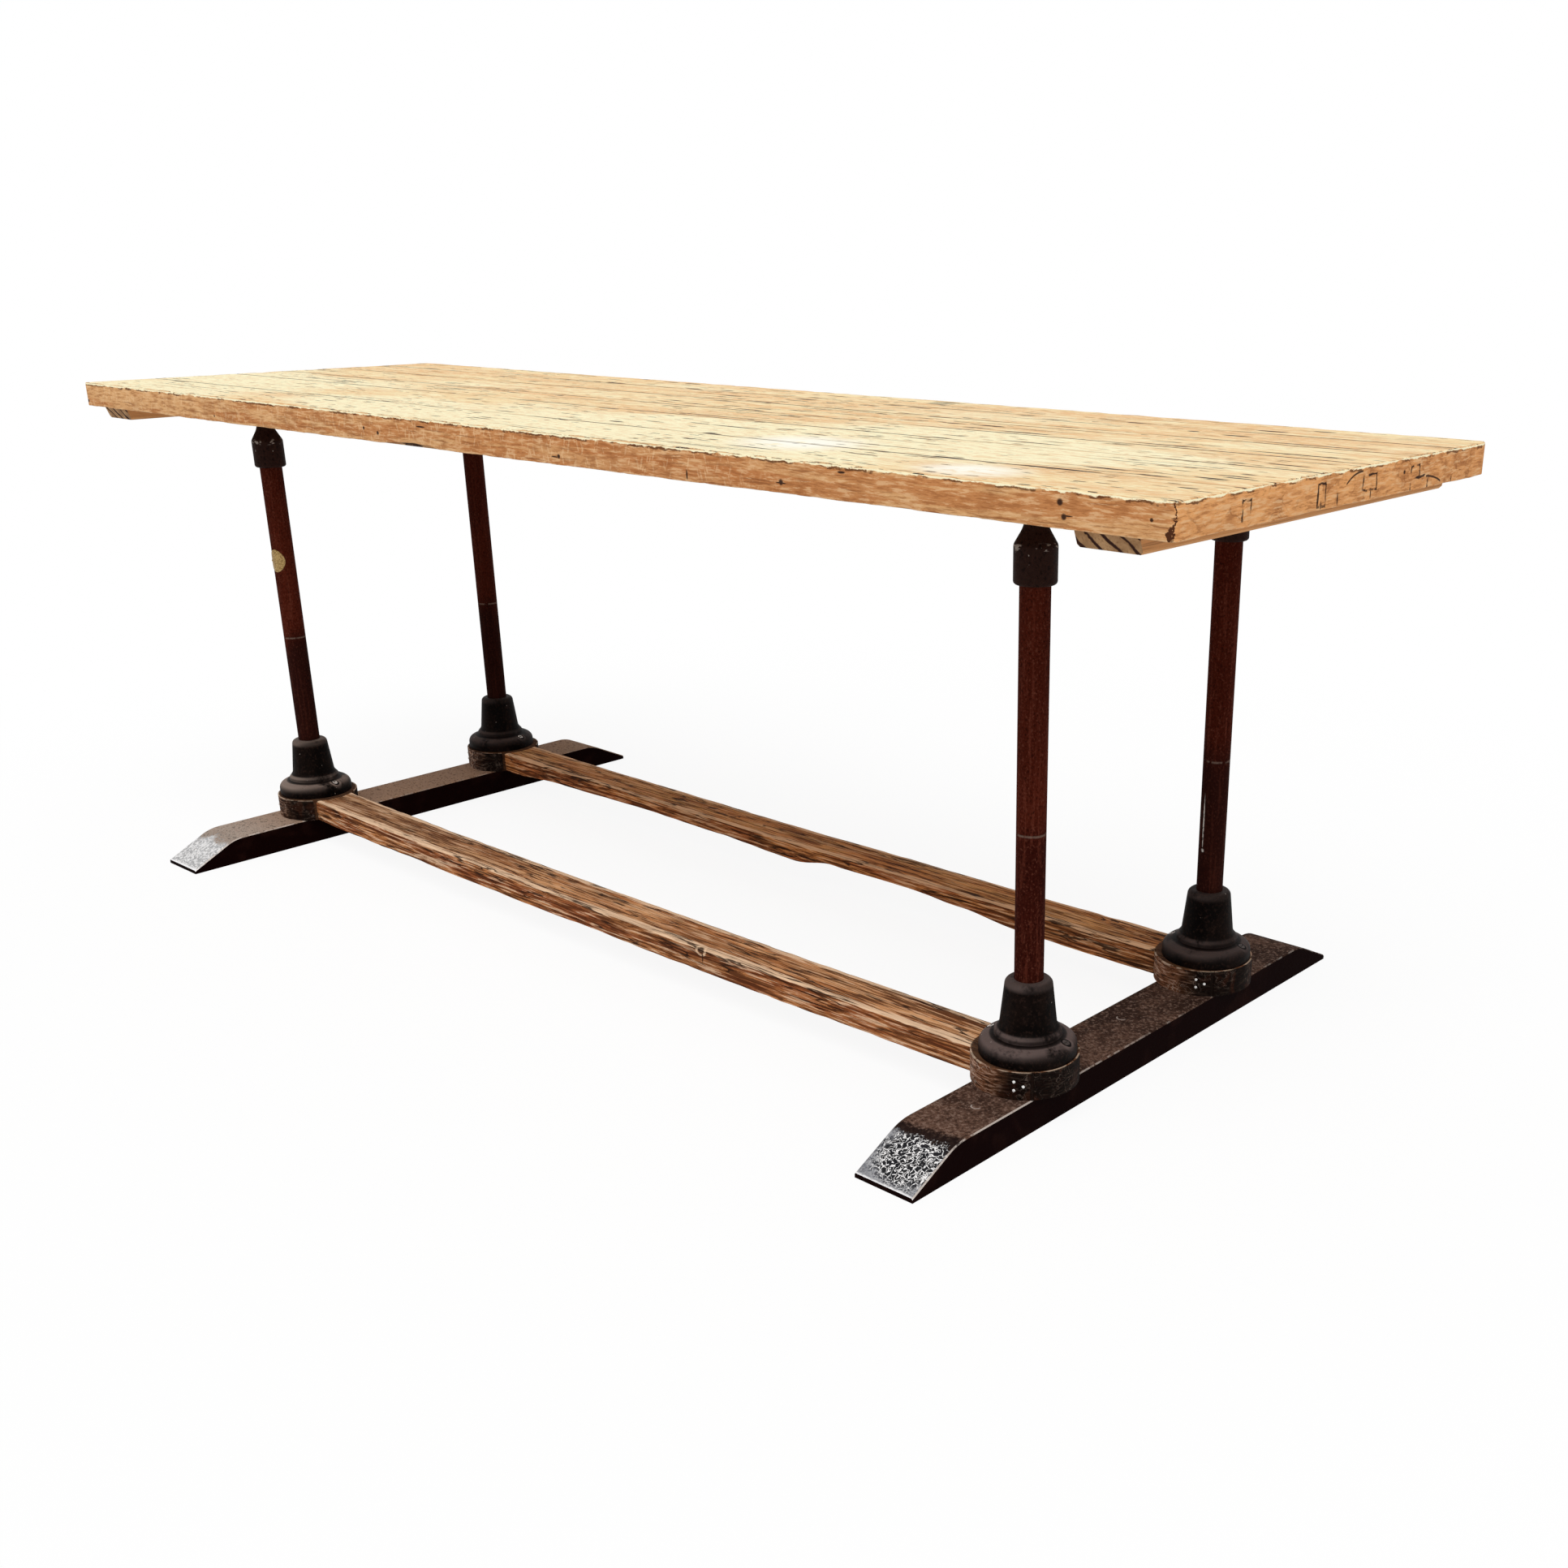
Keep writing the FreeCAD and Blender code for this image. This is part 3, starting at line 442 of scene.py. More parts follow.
def scrubbed_face(wood, grain_place, board, fibre):
    """Straw and cream grain in fine flecks, worn paler in broad places and splintered along the rim."""
    figure = wood.cloud((3, 34, 34), grain_place, detail=4, wander=0.4)
    flecks = wood.cloud((42, 180, 180), grain_place, detail=4, roughness=0.7)
    patches = wood.cloud((3.5, 9, 9), detail=3)
    pale = wood.most(wood.patch((x, y, TOP_HIGH.z), (long, wide, 1)) for x, y, long, wide in PALE_PLACES)
    colour = wood.mix(wood.step(figure + 0.14 * (board - 0.5), 0.36, 0.62), HONEY, STRAW)
    scrubbed = wood.step(pale + 1.6 * (patches - 0.5) + 0.5 * (figure - 0.5), -0.05, 0.60)
    colour = wood.mix(scrubbed * 0.95, colour, CREAM)
    colour = wood.mix(wood.step(flecks, 0.51, 0.57) * 0.50, colour, HONEY)
    colour = wood.mix(wood.step(flecks, 0.49, 0.42) * 0.50, colour, CREAM)
    colour = wood.mix(wood.step(fibre, 0.55, 0.66) * 0.40, colour, UMBER)
    rubs = wood.most(wood.patch((x, y, TOP_HIGH.z), (long, wide, 1)) for x, y, long, wide in TOP_RUBS)
    rub_grain = wood.step(wood.cloud((26, 60, 26), detail=4), 0.28, 0.46)
    colour = wood.mix(rubs * rub_grain, colour, BLEACHED)
    from_rim = wood.math("MINIMUM", TOP_HIGH.x - abs(wood.x), TOP_HIGH.y - abs(wood.y))
    splinters = wood.cloud((30, 110, 110), detail=4, roughness=0.65)
    ragged_rim = from_rim + 0.030 * (splinters - 0.5)
    colour = wood.mix(wood.step(ragged_rim, 0.0014, 0.0004) * 0.85, colour, LIGHT_TAN)
    torn = wood.step(abs(ragged_rim - 0.0016), 0.0012, 0.0004) * wood.step(patches, 0.44, 0.54)
    return wood.mix(torn * 0.8, colour, CORNER_DARK)


def top_cuts(wood, grain_place, across):
    """Dark ticks, knife cuts and open seams in the upper face, more of them towards the rear."""
    crowding = wood.step(wood.cloud((1.6, 5, 5), detail=2, shift=(3, 1, 0)), 0.36, 0.58)
    uneven = wood.wavering(grain_place, (50, 50, 50), 0.005)
    often = 0.045 + 0.075 * wood.step(wood.y, -0.22, 0.22)
    bold_cuts = wood.dashes((15, 150), 0.32, often, uneven)
    fine_ticks = wood.dashes((38, 270), 0.34, 0.065, uneven, shift=(3.3, 7.1))
    hair_cuts = wood.dashes((3, 230), 0.30, 0.070, uneven, shift=(5.2, 1.7))
    scattered = wood.most([bold_cuts, fine_ticks, hair_cuts * 0.9]) * (0.45 + 0.55 * crowding)
    gouges = wood.most(wood.streak((x, y, TOP_HIGH.z), (long, wide, 1)) for x, y, long, wide in TOP_GOUGES)
    open_seam = wood.step(wood.cloud((3.5, 14, 0), detail=2, shift=(5, 0, 0)), 0.42, 0.54)
    seams = wood.step(from_seam(wood, across), 0.0027, 0.0009) * (0.4 + 0.6 * open_seam)
    return wood.most([scattered, gouges, seams])


def waxed_edge(wood, grain_place, ragged):
    """Tan long edges, scored on all but their right part, and warmer end grain."""
    mottle = wood.cloud((44, 44, 320), detail=4, roughness=0.7)
    figure = wood.cloud((6, 20, 90), grain_place, detail=4, wander=0.9)
    blotches = wood.cloud((24, 24, 14), detail=4, shift=(1, 4, 2))
    leftward = wood.step(wood.x, -0.35, -0.9)
    colour = wood.mix(wood.step(figure + 0.12 * leftward, 0.44, 0.60), TAN, LIGHT_TAN)
    reddened = wood.patch((REDDENED_MIDDLE, TOP_LOW.y, TOP_MIDDLE), (0.24, 1, 0.04))
    colour = wood.mix(reddened * 0.45, colour, REDDENED_TAN)
    slants = (wood.turned((math.pi / 2, 0, tilt)) for tilt in (0.25, -0.35))
    scores = wood.most(wood.dashes((240, 60), 0.34, 0.22, slant) for slant in slants)
    scored = scores * wood.step(wood.x + 0.3 * (blotches - 0.5), 0.62, 0.40)
    colour = wood.mix(scored * 0.50, colour, SCORED_TAN)
    lengthwise = wood.wavering(wood.turned((math.pi / 2, 0, 0)), (20, 20, 20), 0.008)
    grain_lines = wood.dashes((15, 330), 0.32, 0.20, lengthwise)
    colour = wood.mix(grain_lines * 0.55, colour, GRAIN_DARK)
    backward = wood.step(wood.y, -0.05, 0.34)
    end = wood.mix(0.4 * backward + 0.4 * wood.step(figure, 0.46, 0.60), END_TAN, TAN)
    curls = wood.lines(wood.cloud((0, 30, 45), grain_place, detail=2, wander=0.8), 0.022)
    end = wood.mix(curls * wood.step(blotches, 0.46, 0.56) * 0.5, end, GRAIN_DARK)
    colour = wood.mix(wood.step(abs(wood.facing_x), 0.6, 0.9), colour, end)
    colour = wood.mix(wood.step(blotches, 0.51, 0.62) * 0.28, colour, DEEP_TAN)
    colour = wood.mix(wood.step(mottle, 0.52, 0.61) * 0.54, colour, DEEP_TAN)
    colour = wood.mix(wood.step(mottle, 0.48, 0.39) * 0.56, colour, SCORED_TAN)
    return wood.mix(corner_crack(wood, ragged), colour, CORNER_DARK)


def corner_crack(wood, ragged):
    """A ragged dark crack down the front right corner, leaning to the left and wider towards its foot."""
    foot = wood.step(wood.z - TOP_LOW.z, 0.022, 0.001)
    round_corner = TOP_HIGH.x - wood.x - (wood.y - TOP_LOW.y)
    beside = round_corner + 0.034 * (ragged - 0.5) - 0.0040 * foot
    return wood.step(abs(beside) - 0.0008 * foot, 0.0017, 0.0007)


def edge_marks(wood, ragged):
    """Nail holes and cracks in the front edge, and joints and cracks in the ends."""
    holes = wood.most(wood.spot((x, TOP_LOW.y, z), radius) for x, z, radius in FRONT_HOLES)
    cracks = wood.most(wood.streak((x, TOP_LOW.y, z), (long, 1, high)) for x, z, long, high in FRONT_CRACKS)
    at_front = wood.step(wood.facing_y, -0.5, -0.8)
    fronts = wood.most([holes, cracks]) * at_front
    y = wood.y + 0.008 * (ragged - 0.5)
    z = wood.z - 0.008 * (ragged - 0.5)
    outlines = wood.most(tongue_outline(wood, y, z, *sides) for sides in TONGUE_OUTLINES)
    broken = wood.step(wood.cloud((40, 55, 55), detail=2, shift=(2, 2, 2)), 0.38, 0.50)
    joints = outlines * broken * wood.step(abs(wood.facing_x), 0.6, 0.9)
    splits = wood.most(wood.streak((TOP_HIGH.x, *spot), (1, wide, high)) for *spot, wide, high in END_CRACKS)
    rings = wood.most(growth_ring(wood, *ring) for ring in END_ARCS)
    knot = wood.spot((TOP_HIGH.x, *END_KNOT), END_KNOT_RADIUS)
    at_right = wood.step(wood.facing_x, 0.6, 0.9)
    return wood.most([fronts, joints, wood.most([splits, rings, knot]) * at_right])


def tongue_outline(wood, y, z, low_y, high_y, low_z, high_z):
    """A thin dark line round a tongue's end."""
    beside = abs(y - (low_y + high_y) / 2) - (high_y - low_y) / 2
    above = abs(z - (low_z + high_z) / 2) - (high_z - low_z) / 2
    return wood.step(abs(wood.math("MAXIMUM", beside, above)), 0.0015, 0.0005)


def growth_ring(wood, y, z, radius, low_y, high_y):
    """A dark arc on an end."""
    off_ring = abs(wood.distance(wood.stretched((0, 1, 1)), (0, y, z)) - radius)
    within = abs(wood.y - (low_y + high_y) / 2) - (high_y - low_y) / 2
    return wood.step(off_ring, 0.0014, 0.0004) * wood.step(within, 0.001, -0.001)


BATTEN_BROWN = (0.30, 0.165, 0.075)
BATTEN_STRAW = (0.46, 0.275, 0.135)
BATTEN_SIDE_LIT = (0.66, 0.31, 0.115)
BATTEN_FIBRE = (0.18, 0.08, 0.035)
SAW_DARK = (0.030, 0.008, 0.004)

# Radians that the wave of saw marks turns in a metre
SAW_RADIANS = 290


def make_batten_wood():
    """Rough bars, a warmer tan on their sides and painted lighter there to offset the shade that falls on
    them, with slanting saw marks on their ends.
    """
    wood = Finish("batten_wood")
    fibre = wood.cloud((420, 9, 420), detail=3)
    figure = wood.cloud((50, 3, 50), detail=3, wander=0.5)
    colour = wood.mix(wood.step(figure, 0.35, 0.7), BATTEN_BROWN, BATTEN_STRAW)
    # The sides are a warmer tan and are also painted lighter, to offset the shade that falls on them
    sideways = wood.step(abs(wood.facing_x), 0.5, 0.8)
    colour = wood.mix(sideways * 0.85, colour, BATTEN_SIDE_LIT)
    colour = wood.mix(wood.step(fibre, 0.5, 0.75) * 0.6, colour, BATTEN_FIBRE)
    at_end = wood.step(abs(wood.facing_y), 0.5, 0.8)
    sweep = wood.x + 1.1 * wood.z + 0.016 * figure
    wave = wood.math("SINE", sweep * SAW_RADIANS)
    saw_marks = wood.step(wave + 0.9 * (figure - 0.5), 0.55, 0.90) * at_end
    colour = wood.mix(saw_marks, colour, SAW_DARK)
    return wood.apply(colour, 0.75 + 0.1 * fibre, 0.5 * fibre - saw_marks, depth=0.001, specular=0.15)


# Finishes of the posts, the castings, the feet and the small metal pieces

# The old ring round each post, and a scratch on the rear right one
RING_HEIGHT = 0.347
SCRATCH = (0.8160, 0.1752, 0.264)
SCRATCH_END = (0.8166, 0.1750, 0.227)

# Heights on the castings, radii about each post, and the flange screws
COLLAR_SHOULDER = 0.667
NECK_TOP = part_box("flange_front_right")[1].z
NECK_BASE = PAD_TOP + 0.035
RIM_CROWN = 0.0505
LEDGE_EDGE = 0.0388
VALLEY = 0.0430
SCREW_HEAD = 0.0052
SCREW_TURN = math.radians(12)
SCREW_REACH = 0.0494 * Vector((math.cos(SCREW_TURN), math.sin(SCREW_TURN), 0))
FLANGE_SCREWS = [post + side * SCREW_REACH for post in POSTS.values() for side in (-1, 1)]

PAINT_DARK = (0.042, 0.0058, 0.0024)
PAINT_RED = (0.064, 0.0096, 0.0042)
PAINT_LOW = (0.020, 0.0026, 0.0016)
PAINT_RUN = (0.092, 0.020, 0.011)
PAINT_SPECK = (0.115, 0.036, 0.022)
PAINT_PIT = (0.008, 0.0010, 0.0006)
PAINT_LOW_SHADE = (0.010, 0.0038, 0.0030)
PAINT_REAR_SHADE = (0.012, 0.0028, 0.0014)
RING_GREY = (0.20, 0.14, 0.11)
SCRATCH_PALE = (0.60, 0.56, 0.52)


def make_post_paint():
    """Dull red-brown paint, darker low down, with an old scratched ring."""
    paint = Finish("post_paint")
    speckle = paint.cloud((420, 420, 300), detail=3, roughness=0.7)
    runs_down = paint.cloud((260, 260, 14), detail=3)
    patches = paint.cloud((30, 30, 7), detail=4)
    low = paint.step(paint.z + 0.08 * (patches - 0.5), RING_HEIGHT + 0.03, RING_HEIGHT - 0.03)
    colour = paint.mix(paint.step(patches, 0.35, 0.7), PAINT_DARK, PAINT_RED)
    colour = paint.mix(low * 0.75, colour, PAINT_LOW)
    colour = paint.mix(paint.step(runs_down, 0.52, 0.66) * 0.5, colour, PAINT_RUN)
    colour = paint.mix(paint.step(speckle, 0.54, 0.66) * 0.55, colour, PAINT_SPECK)
    colour = paint.mix(paint.step(speckle, 0.46, 0.34) * 0.7, colour, PAINT_PIT)
    on_left = paint.step(paint.x, 0.2, -0.2)
    behind = paint.step(paint.y, -0.02, 0.12)
    colour = paint.mix(paint.most([behind, on_left]) * low * 0.55, colour, PAINT_LOW_SHADE)
    colour = paint.mix(behind * on_left * 0.35, colour, PAINT_REAR_SHADE)
    from_ring = abs(paint.z - RING_HEIGHT + 0.002 * (patches - 0.5))
    rubbed_off = paint.step(paint.cloud((120, 120, 40), detail=2), 0.40, 0.55)
    ring = paint.step(from_ring, 0.0020, 0.0006) * rubbed_off
    colour = paint.mix(ring * 0.5, colour, RING_GREY)
    scratch = paint.most([paint.streak(SCRATCH, (0.0012, 0.01, 0.040)), paint.spot(SCRATCH_END, 0.0024)])
    chalky = paint.step(speckle, 0.36, 0.50)
    colour = paint.mix(scratch * chalky * 0.85, colour, SCRATCH_PALE)
    relief = 0.3 * speckle - paint.step(from_ring, 0.0016, 0.0004)
    return paint.apply(colour, 0.55 + 0.25 * speckle, relief, depth=0.0006, specular=0.015)


CASTING_BLACK = (0.0012, 0.0005, 0.0003)
CASTING_BROWN = (0.0052, 0.0024, 0.0016)
COLLAR_BROWN = (0.0225, 0.0090, 0.0064)
GRIT_BROWN = (0.030, 0.015, 0.011)
GRIT_BLACK = (0.0014, 0.0004, 0.0003)
HIGHLIGHT_RIGHT = (0.128, 0.092, 0.084)
HIGHLIGHT_LEFT = (0.24, 0.182, 0.152)
SHADE_AND_GAP_BLACK = (0.0022, 0.0010, 0.0008)
CHIP_GREY = (0.40, 0.35, 0.31)


def make_casting_iron():
    """Black-brown castings, with painted highlights on rims, ledges and lips, painted shade round each neck,
    and chips on the collars.
    """
    iron = Finish("casting_iron")
    grit = iron.cloud((240, 240, 240), detail=4, roughness=0.65)
    patches = iron.cloud((24, 24, 24), detail=4, wander=0.5)
    collar = iron.step(iron.z, 0.3, 0.5)
    colour = iron.mix(iron.step(patches, 0.42, 0.60), CASTING_BLACK, CASTING_BROWN)
    colour = iron.mix(collar * 0.85, colour, COLLAR_BROWN)
    colour = iron.mix(iron.step(grit, 0.53, 0.64) * 0.35, colour, GRIT_BROWN)
    colour = iron.mix(iron.step(grit, 0.47, 0.36) * 0.65, colour, GRIT_BLACK)

    # Painted highlights on the flanges' rim crowns, ledges and lips, in patches, lighter towards the left,
    # dimmer on right-facing and rear sides, and whole round the screws
    radius = iron.nearest(POSTS.values())
    above_pad = iron.z - PAD_TOP
    above_neck_base = iron.z - NECK_BASE
    crown = iron.step(abs(radius - RIM_CROWN), 0.0095, 0.0040) * iron.step(above_pad, 0.007, 0.013)
    ledge = iron.step(abs(radius - LEDGE_EDGE), 0.0030, 0.0010) * iron.step(above_neck_base, 0.003, -0.003)
    lip = iron.step(NECK_TOP - iron.z, 0.011, 0.004) * (1 - collar)
    from_screw = iron.nearest(FLANGE_SCREWS)
    round_screw = iron.step(from_screw, 0.0120, 0.0085)
    even = iron.most([iron.step(patches + 0.3 * (grit - 0.5), 0.29, 0.49), round_screw])
    shaded = iron.step(iron.facing_x, 0.15, 0.80) * (1 - round_screw)
    behind = iron.step(iron.y, -0.05, 0.05)
    highlight_places = iron.most([crown, ledge * 0.8, lip * 0.6])
    rubbing_and_highlight = highlight_places * even * (1 - 0.6 * shaded) * (1 - 0.5 * behind)
    leftward = iron.step(iron.x + 0.35 * iron.facing_x, 0.1, -0.9) * (1 - behind)
    highlight_tone = iron.mix(leftward, HIGHLIGHT_RIGHT, HIGHLIGHT_LEFT)
    colour = iron.mix(rubbing_and_highlight * 0.85, colour, highlight_tone)

    # Painted shade in the hollow round each neck, and the dark gap round each screw
    valley = iron.step(abs(radius - VALLEY), 0.0042, 0.0015) * iron.step(above_neck_base, -0.004, -0.008)
    screw_gap = iron.step(abs(from_screw - SCREW_HEAD), 0.0016, 0.0008)
    colour = iron.mix(iron.most([valley * 0.8, screw_gap]), colour, SHADE_AND_GAP_BLACK)

    # Chips on the collars' shoulders and small flecks everywhere
    near_shoulder = iron.step(abs(iron.z - COLLAR_SHOULDER), 0.006, 0.001)
    chips = near_shoulder * iron.step(iron.cloud((110, 110, 260), detail=3, shift=(2, 5, 1)), 0.57, 0.63)
    flecks = iron.step(iron.cloud((170, 170, 130), detail=2), 0.735, 0.76)
    colour = iron.mix(iron.most([flecks, chips]) * 0.6, colour, CHIP_GREY)
    return iron.apply(colour, 0.40 + 0.25 * grit, 0.5 * grit + 0.4 * patches, depth=0.0008, specular=0.03)


FOOT_BLACK = (0.038, 0.0200, 0.0145)
FOOT_BROWN = (0.110, 0.060, 0.042)
LEFT_FOOT_TAN = (0.38, 0.245, 0.165)
LEFT_TOE_GREY = (0.42, 0.36, 0.31)
FOOT_GRIT_PALE = (0.24, 0.160, 0.125)
FOOT_GRIT_DARK = (0.018, 0.009, 0.0065)
FOOT_SCRATCH_PALE = (0.45, 0.38, 0.34)
FOOT_SIDE_BLACK = (0.0042, 0.0006, 0.0005)
FOOT_SIDE_BROWN = (0.010, 0.0028, 0.0020)
CREST_BLACK = (0.009, 0.005, 0.005)
SILVER_DARK = (0.17, 0.175, 0.195)
SILVER_LIGHT = (0.30, 0.305, 0.325)
WORM_BLACK = (0.010, 0.010, 0.012)
WORM_WHITE = (0.93, 0.93, 0.93)
PALE_TOE_DARK = (0.38, 0.38, 0.385)
PALE_TOE_LIGHT = (0.76, 0.76, 0.76)
TOE_EDGE_WHITE = (0.92, 0.92, 0.93)
ARRIS_GREY = (0.55, 0.48, 0.43)

# Crescents scratched into the right foot, as x and y, and the middle of the worn paint on its front toe
FOOT_SCRATCHES = ((0.8229, -0.2894), (0.8101, 0.0144))
SCRATCH_RADIUS = 0.006
FOOT_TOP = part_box("foot_right")[1].z
WORM_MIDDLE = (POSTS["front_right"].x + 0.012, -0.402, 0)


def make_foot_iron():
    """Dark painted iron, brown on top and worn bright on the front toes."""
    iron = Finish("foot_iron")
    grit = iron.cloud((230, 230, 230), detail=4, roughness=0.7)
    patches = iron.cloud((18, 18, 18), detail=4, wander=0.5)
    upward = iron.step(iron.facing_z, 0.35, 0.75)
    on_left = iron.step(iron.x, 0.2, -0.2)
    near_toe = iron.step(iron.y, -0.20, -0.37)
    top = iron.mix(iron.step(patches - 0.25 * iron.y, 0.38, 0.66), FOOT_BLACK, FOOT_BROWN)
    top = iron.mix(on_left * 0.9, top, LEFT_FOOT_TAN)
    top = iron.mix(on_left * near_toe * 0.8, top, LEFT_TOE_GREY)
    top = iron.mix(iron.step(grit, 0.52, 0.61) * 0.60, top, FOOT_GRIT_PALE)
    top = iron.mix(iron.step(grit, 0.48, 0.39) * 0.65, top, FOOT_GRIT_DARK)
    scratches = iron.most(scratch_arc(iron, x, y) for x, y in FOOT_SCRATCHES)
    top = iron.mix(scratches * 0.7, top, FOOT_SCRATCH_PALE)
    side = iron.mix(iron.step(patches, 0.50, 0.70), FOOT_SIDE_BLACK, FOOT_SIDE_BROWN)
    colour = iron.mix(upward, side, top)

    # The front toes, worn through to bright metal with worm-like remains of paint
    wear = patches - 0.5 + 0.6 * (grit - 0.5)
    crest = iron.step(iron.y + 0.05 * wear, -0.352, -0.368) * (1 - 0.85 * on_left)
    colour = iron.mix(crest * upward * 0.9, colour, CREST_BLACK)
    bright = iron.step(iron.y + 0.06 * wear, -0.376, -0.386) * upward
    worms = iron.cloud((185, 185, 185), detail=1, roughness=0.5, wander=0.9)
    crowded = iron.step(iron.reach(WORM_MIDDLE, (0.052, 0.046, 1)) + 1.2 * wear, 1.15, 0.65)
    silver = iron.mix(iron.step(grit, 0.42, 0.58), SILVER_DARK, SILVER_LIGHT)
    silver = iron.mix(crowded * 0.96, silver, WORM_BLACK)
    silver = iron.mix(iron.lines(worms, 0.062) * (0.10 + 0.90 * crowded), silver, WORM_WHITE)
    pale_toe = iron.mix(iron.step(grit, 0.44, 0.56), PALE_TOE_DARK, PALE_TOE_LIGHT)
    silver = iron.mix(on_left, silver, pale_toe)
    colour = iron.mix(bright, colour, silver)
    toe_edge = iron.step(iron.z + 0.004 * wear, 0.0078, 0.0064) * iron.step(iron.y, -0.435, -0.439)
    colour = iron.mix(toe_edge * upward * 0.9, colour, TOE_EDGE_WHITE)

    # The rubbed arrises, most of all near the toes
    arris = iron.step(abs(iron.facing_x) * iron.facing_z, 0.22, 0.38)
    forward = iron.step(iron.y, 0.05, -0.30)
    rubbing_and_highlight = arris * iron.step(iron.cloud((60, 60, 60), detail=3) + 0.12 * forward, 0.50, 0.60)
    colour = iron.mix(rubbing_and_highlight * (0.25 + 0.5 * forward), colour, ARRIS_GREY)
    relief = 0.4 * grit + 0.5 * patches + 0.8 * bright * worms
    return iron.apply(colour, 0.65 - 0.2 * bright, relief, depth=0.0010, metallic=bright * 0.2, specular=0.01)


def scratch_arc(iron, x, y):
    """A small bright crescent scratched into a foot's top."""
    off_ring = abs(iron.distance(iron.place, (x, y, FOOT_TOP)) - SCRATCH_RADIUS)
    return iron.step(off_ring, 0.0014, 0.0005) * iron.step(iron.y, y + 0.001, y - 0.002)


SCREW_DARK = (0.034, 0.025, 0.022)
SCREW_LIGHT = (0.070, 0.054, 0.049)
SCREW_GLINT = (0.72, 0.66, 0.62)


def make_screw_iron():
    """Dull slotted screws. The inner one of each pair has a painted glint."""
    iron = Finish("screw_iron")
    grit = iron.cloud((420, 420, 420), detail=3)
    # The inner screw of each pair gets a painted glint, in grainy spots
    inward = iron.step(HALF_SPAN - abs(iron.x - BASE_MIDDLE), 0.005, 0.015)
    painted_glint = inward * iron.step(grit, 0.44, 0.52)
    colour = iron.mix(iron.step(grit, 0.40, 0.60), SCREW_DARK, SCREW_LIGHT)
    colour = iron.mix(painted_glint, colour, SCREW_GLINT)
    return iron.apply(colour, 0.45 + 0.2 * (grit - 0.5), grit, depth=0.0004, specular=0.1)


NAIL_DARK = (0.75, 0.74, 0.72)
NAIL_LIGHT = (0.95, 0.94, 0.92)
STEEL_DARK = (0.16, 0.15, 0.14)
STEEL_LIGHT = (0.34, 0.33, 0.32)
BRASS_DARK = (0.20, 0.115, 0.035)
BRASS_LIGHT = (0.46, 0.31, 0.12)


def make_plain_metal(name, dark, light, roughness, metallic, specular=0.5):
    """A small fastener or plate: one metal, uneven in tone."""
    metal = Finish(name)
    grit = metal.cloud((500, 500, 500), detail=3)
    colour = metal.mix(metal.step(grit, 0.35, 0.65), dark, light)
    uneven = roughness + 0.2 * (grit - 0.5)
    return metal.apply(colour, uneven, grit, depth=0.0003, metallic=metallic, specular=specular)


# Finishes of the stretchers and straps

CRACK_DARK = (0.026, 0.009, 0.004)
GREYED_OAK = (0.23, 0.135, 0.074)
BROWN_OAK = (0.16, 0.062, 0.023)
FIBRE_DARK = (0.125, 0.036, 0.010)
OAK_GRAIN_DARK = (0.058, 0.014, 0.004)
PAD_DARK = (0.045, 0.020, 0.010)

# Each stretcher's pale, golden and ruddy oak, its splinters, and how far its left part has greyed
OAK_TONES = {
    "front": ((0.67, 0.342, 0.154), (0.48, 0.192, 0.068), (0.30, 0.090, 0.029), (0.84, 0.59, 0.39), 0.60),
    "rear": ((0.63, 0.300, 0.108), (0.55, 0.214, 0.068), (0.41, 0.128, 0.040), (0.78, 0.48, 0.28), 0.15),
}

# Places on the front plank: a knot, the split under it and a sodden stretch
KNOT = (0.291, -0.236, PAD_TOP - 0.002)
KNOT_SPLIT = (0.294, -0.237, PAD_TOP - 0.012)
SODDEN_END = (0.66, -0.172, PAD_TOP)

# Where each strap's ends meet, in degrees about its pad from the front
STRAP_SEAM_TURNS = {"front_left": -46, "front_right": 46, "rear_left": -44, "rear_right": 44}


def lap_seam(name):
    """Where a strap's end laps over its start, turned about its pad from the front."""
    angle = math.radians(STRAP_SEAM_TURNS[name])
    return PADS[name] + PAD_RADIUS * Vector((math.sin(angle), -math.cos(angle), 0))


LAP_SEAMS = [lap_seam(name) for name in POST_NAMES]


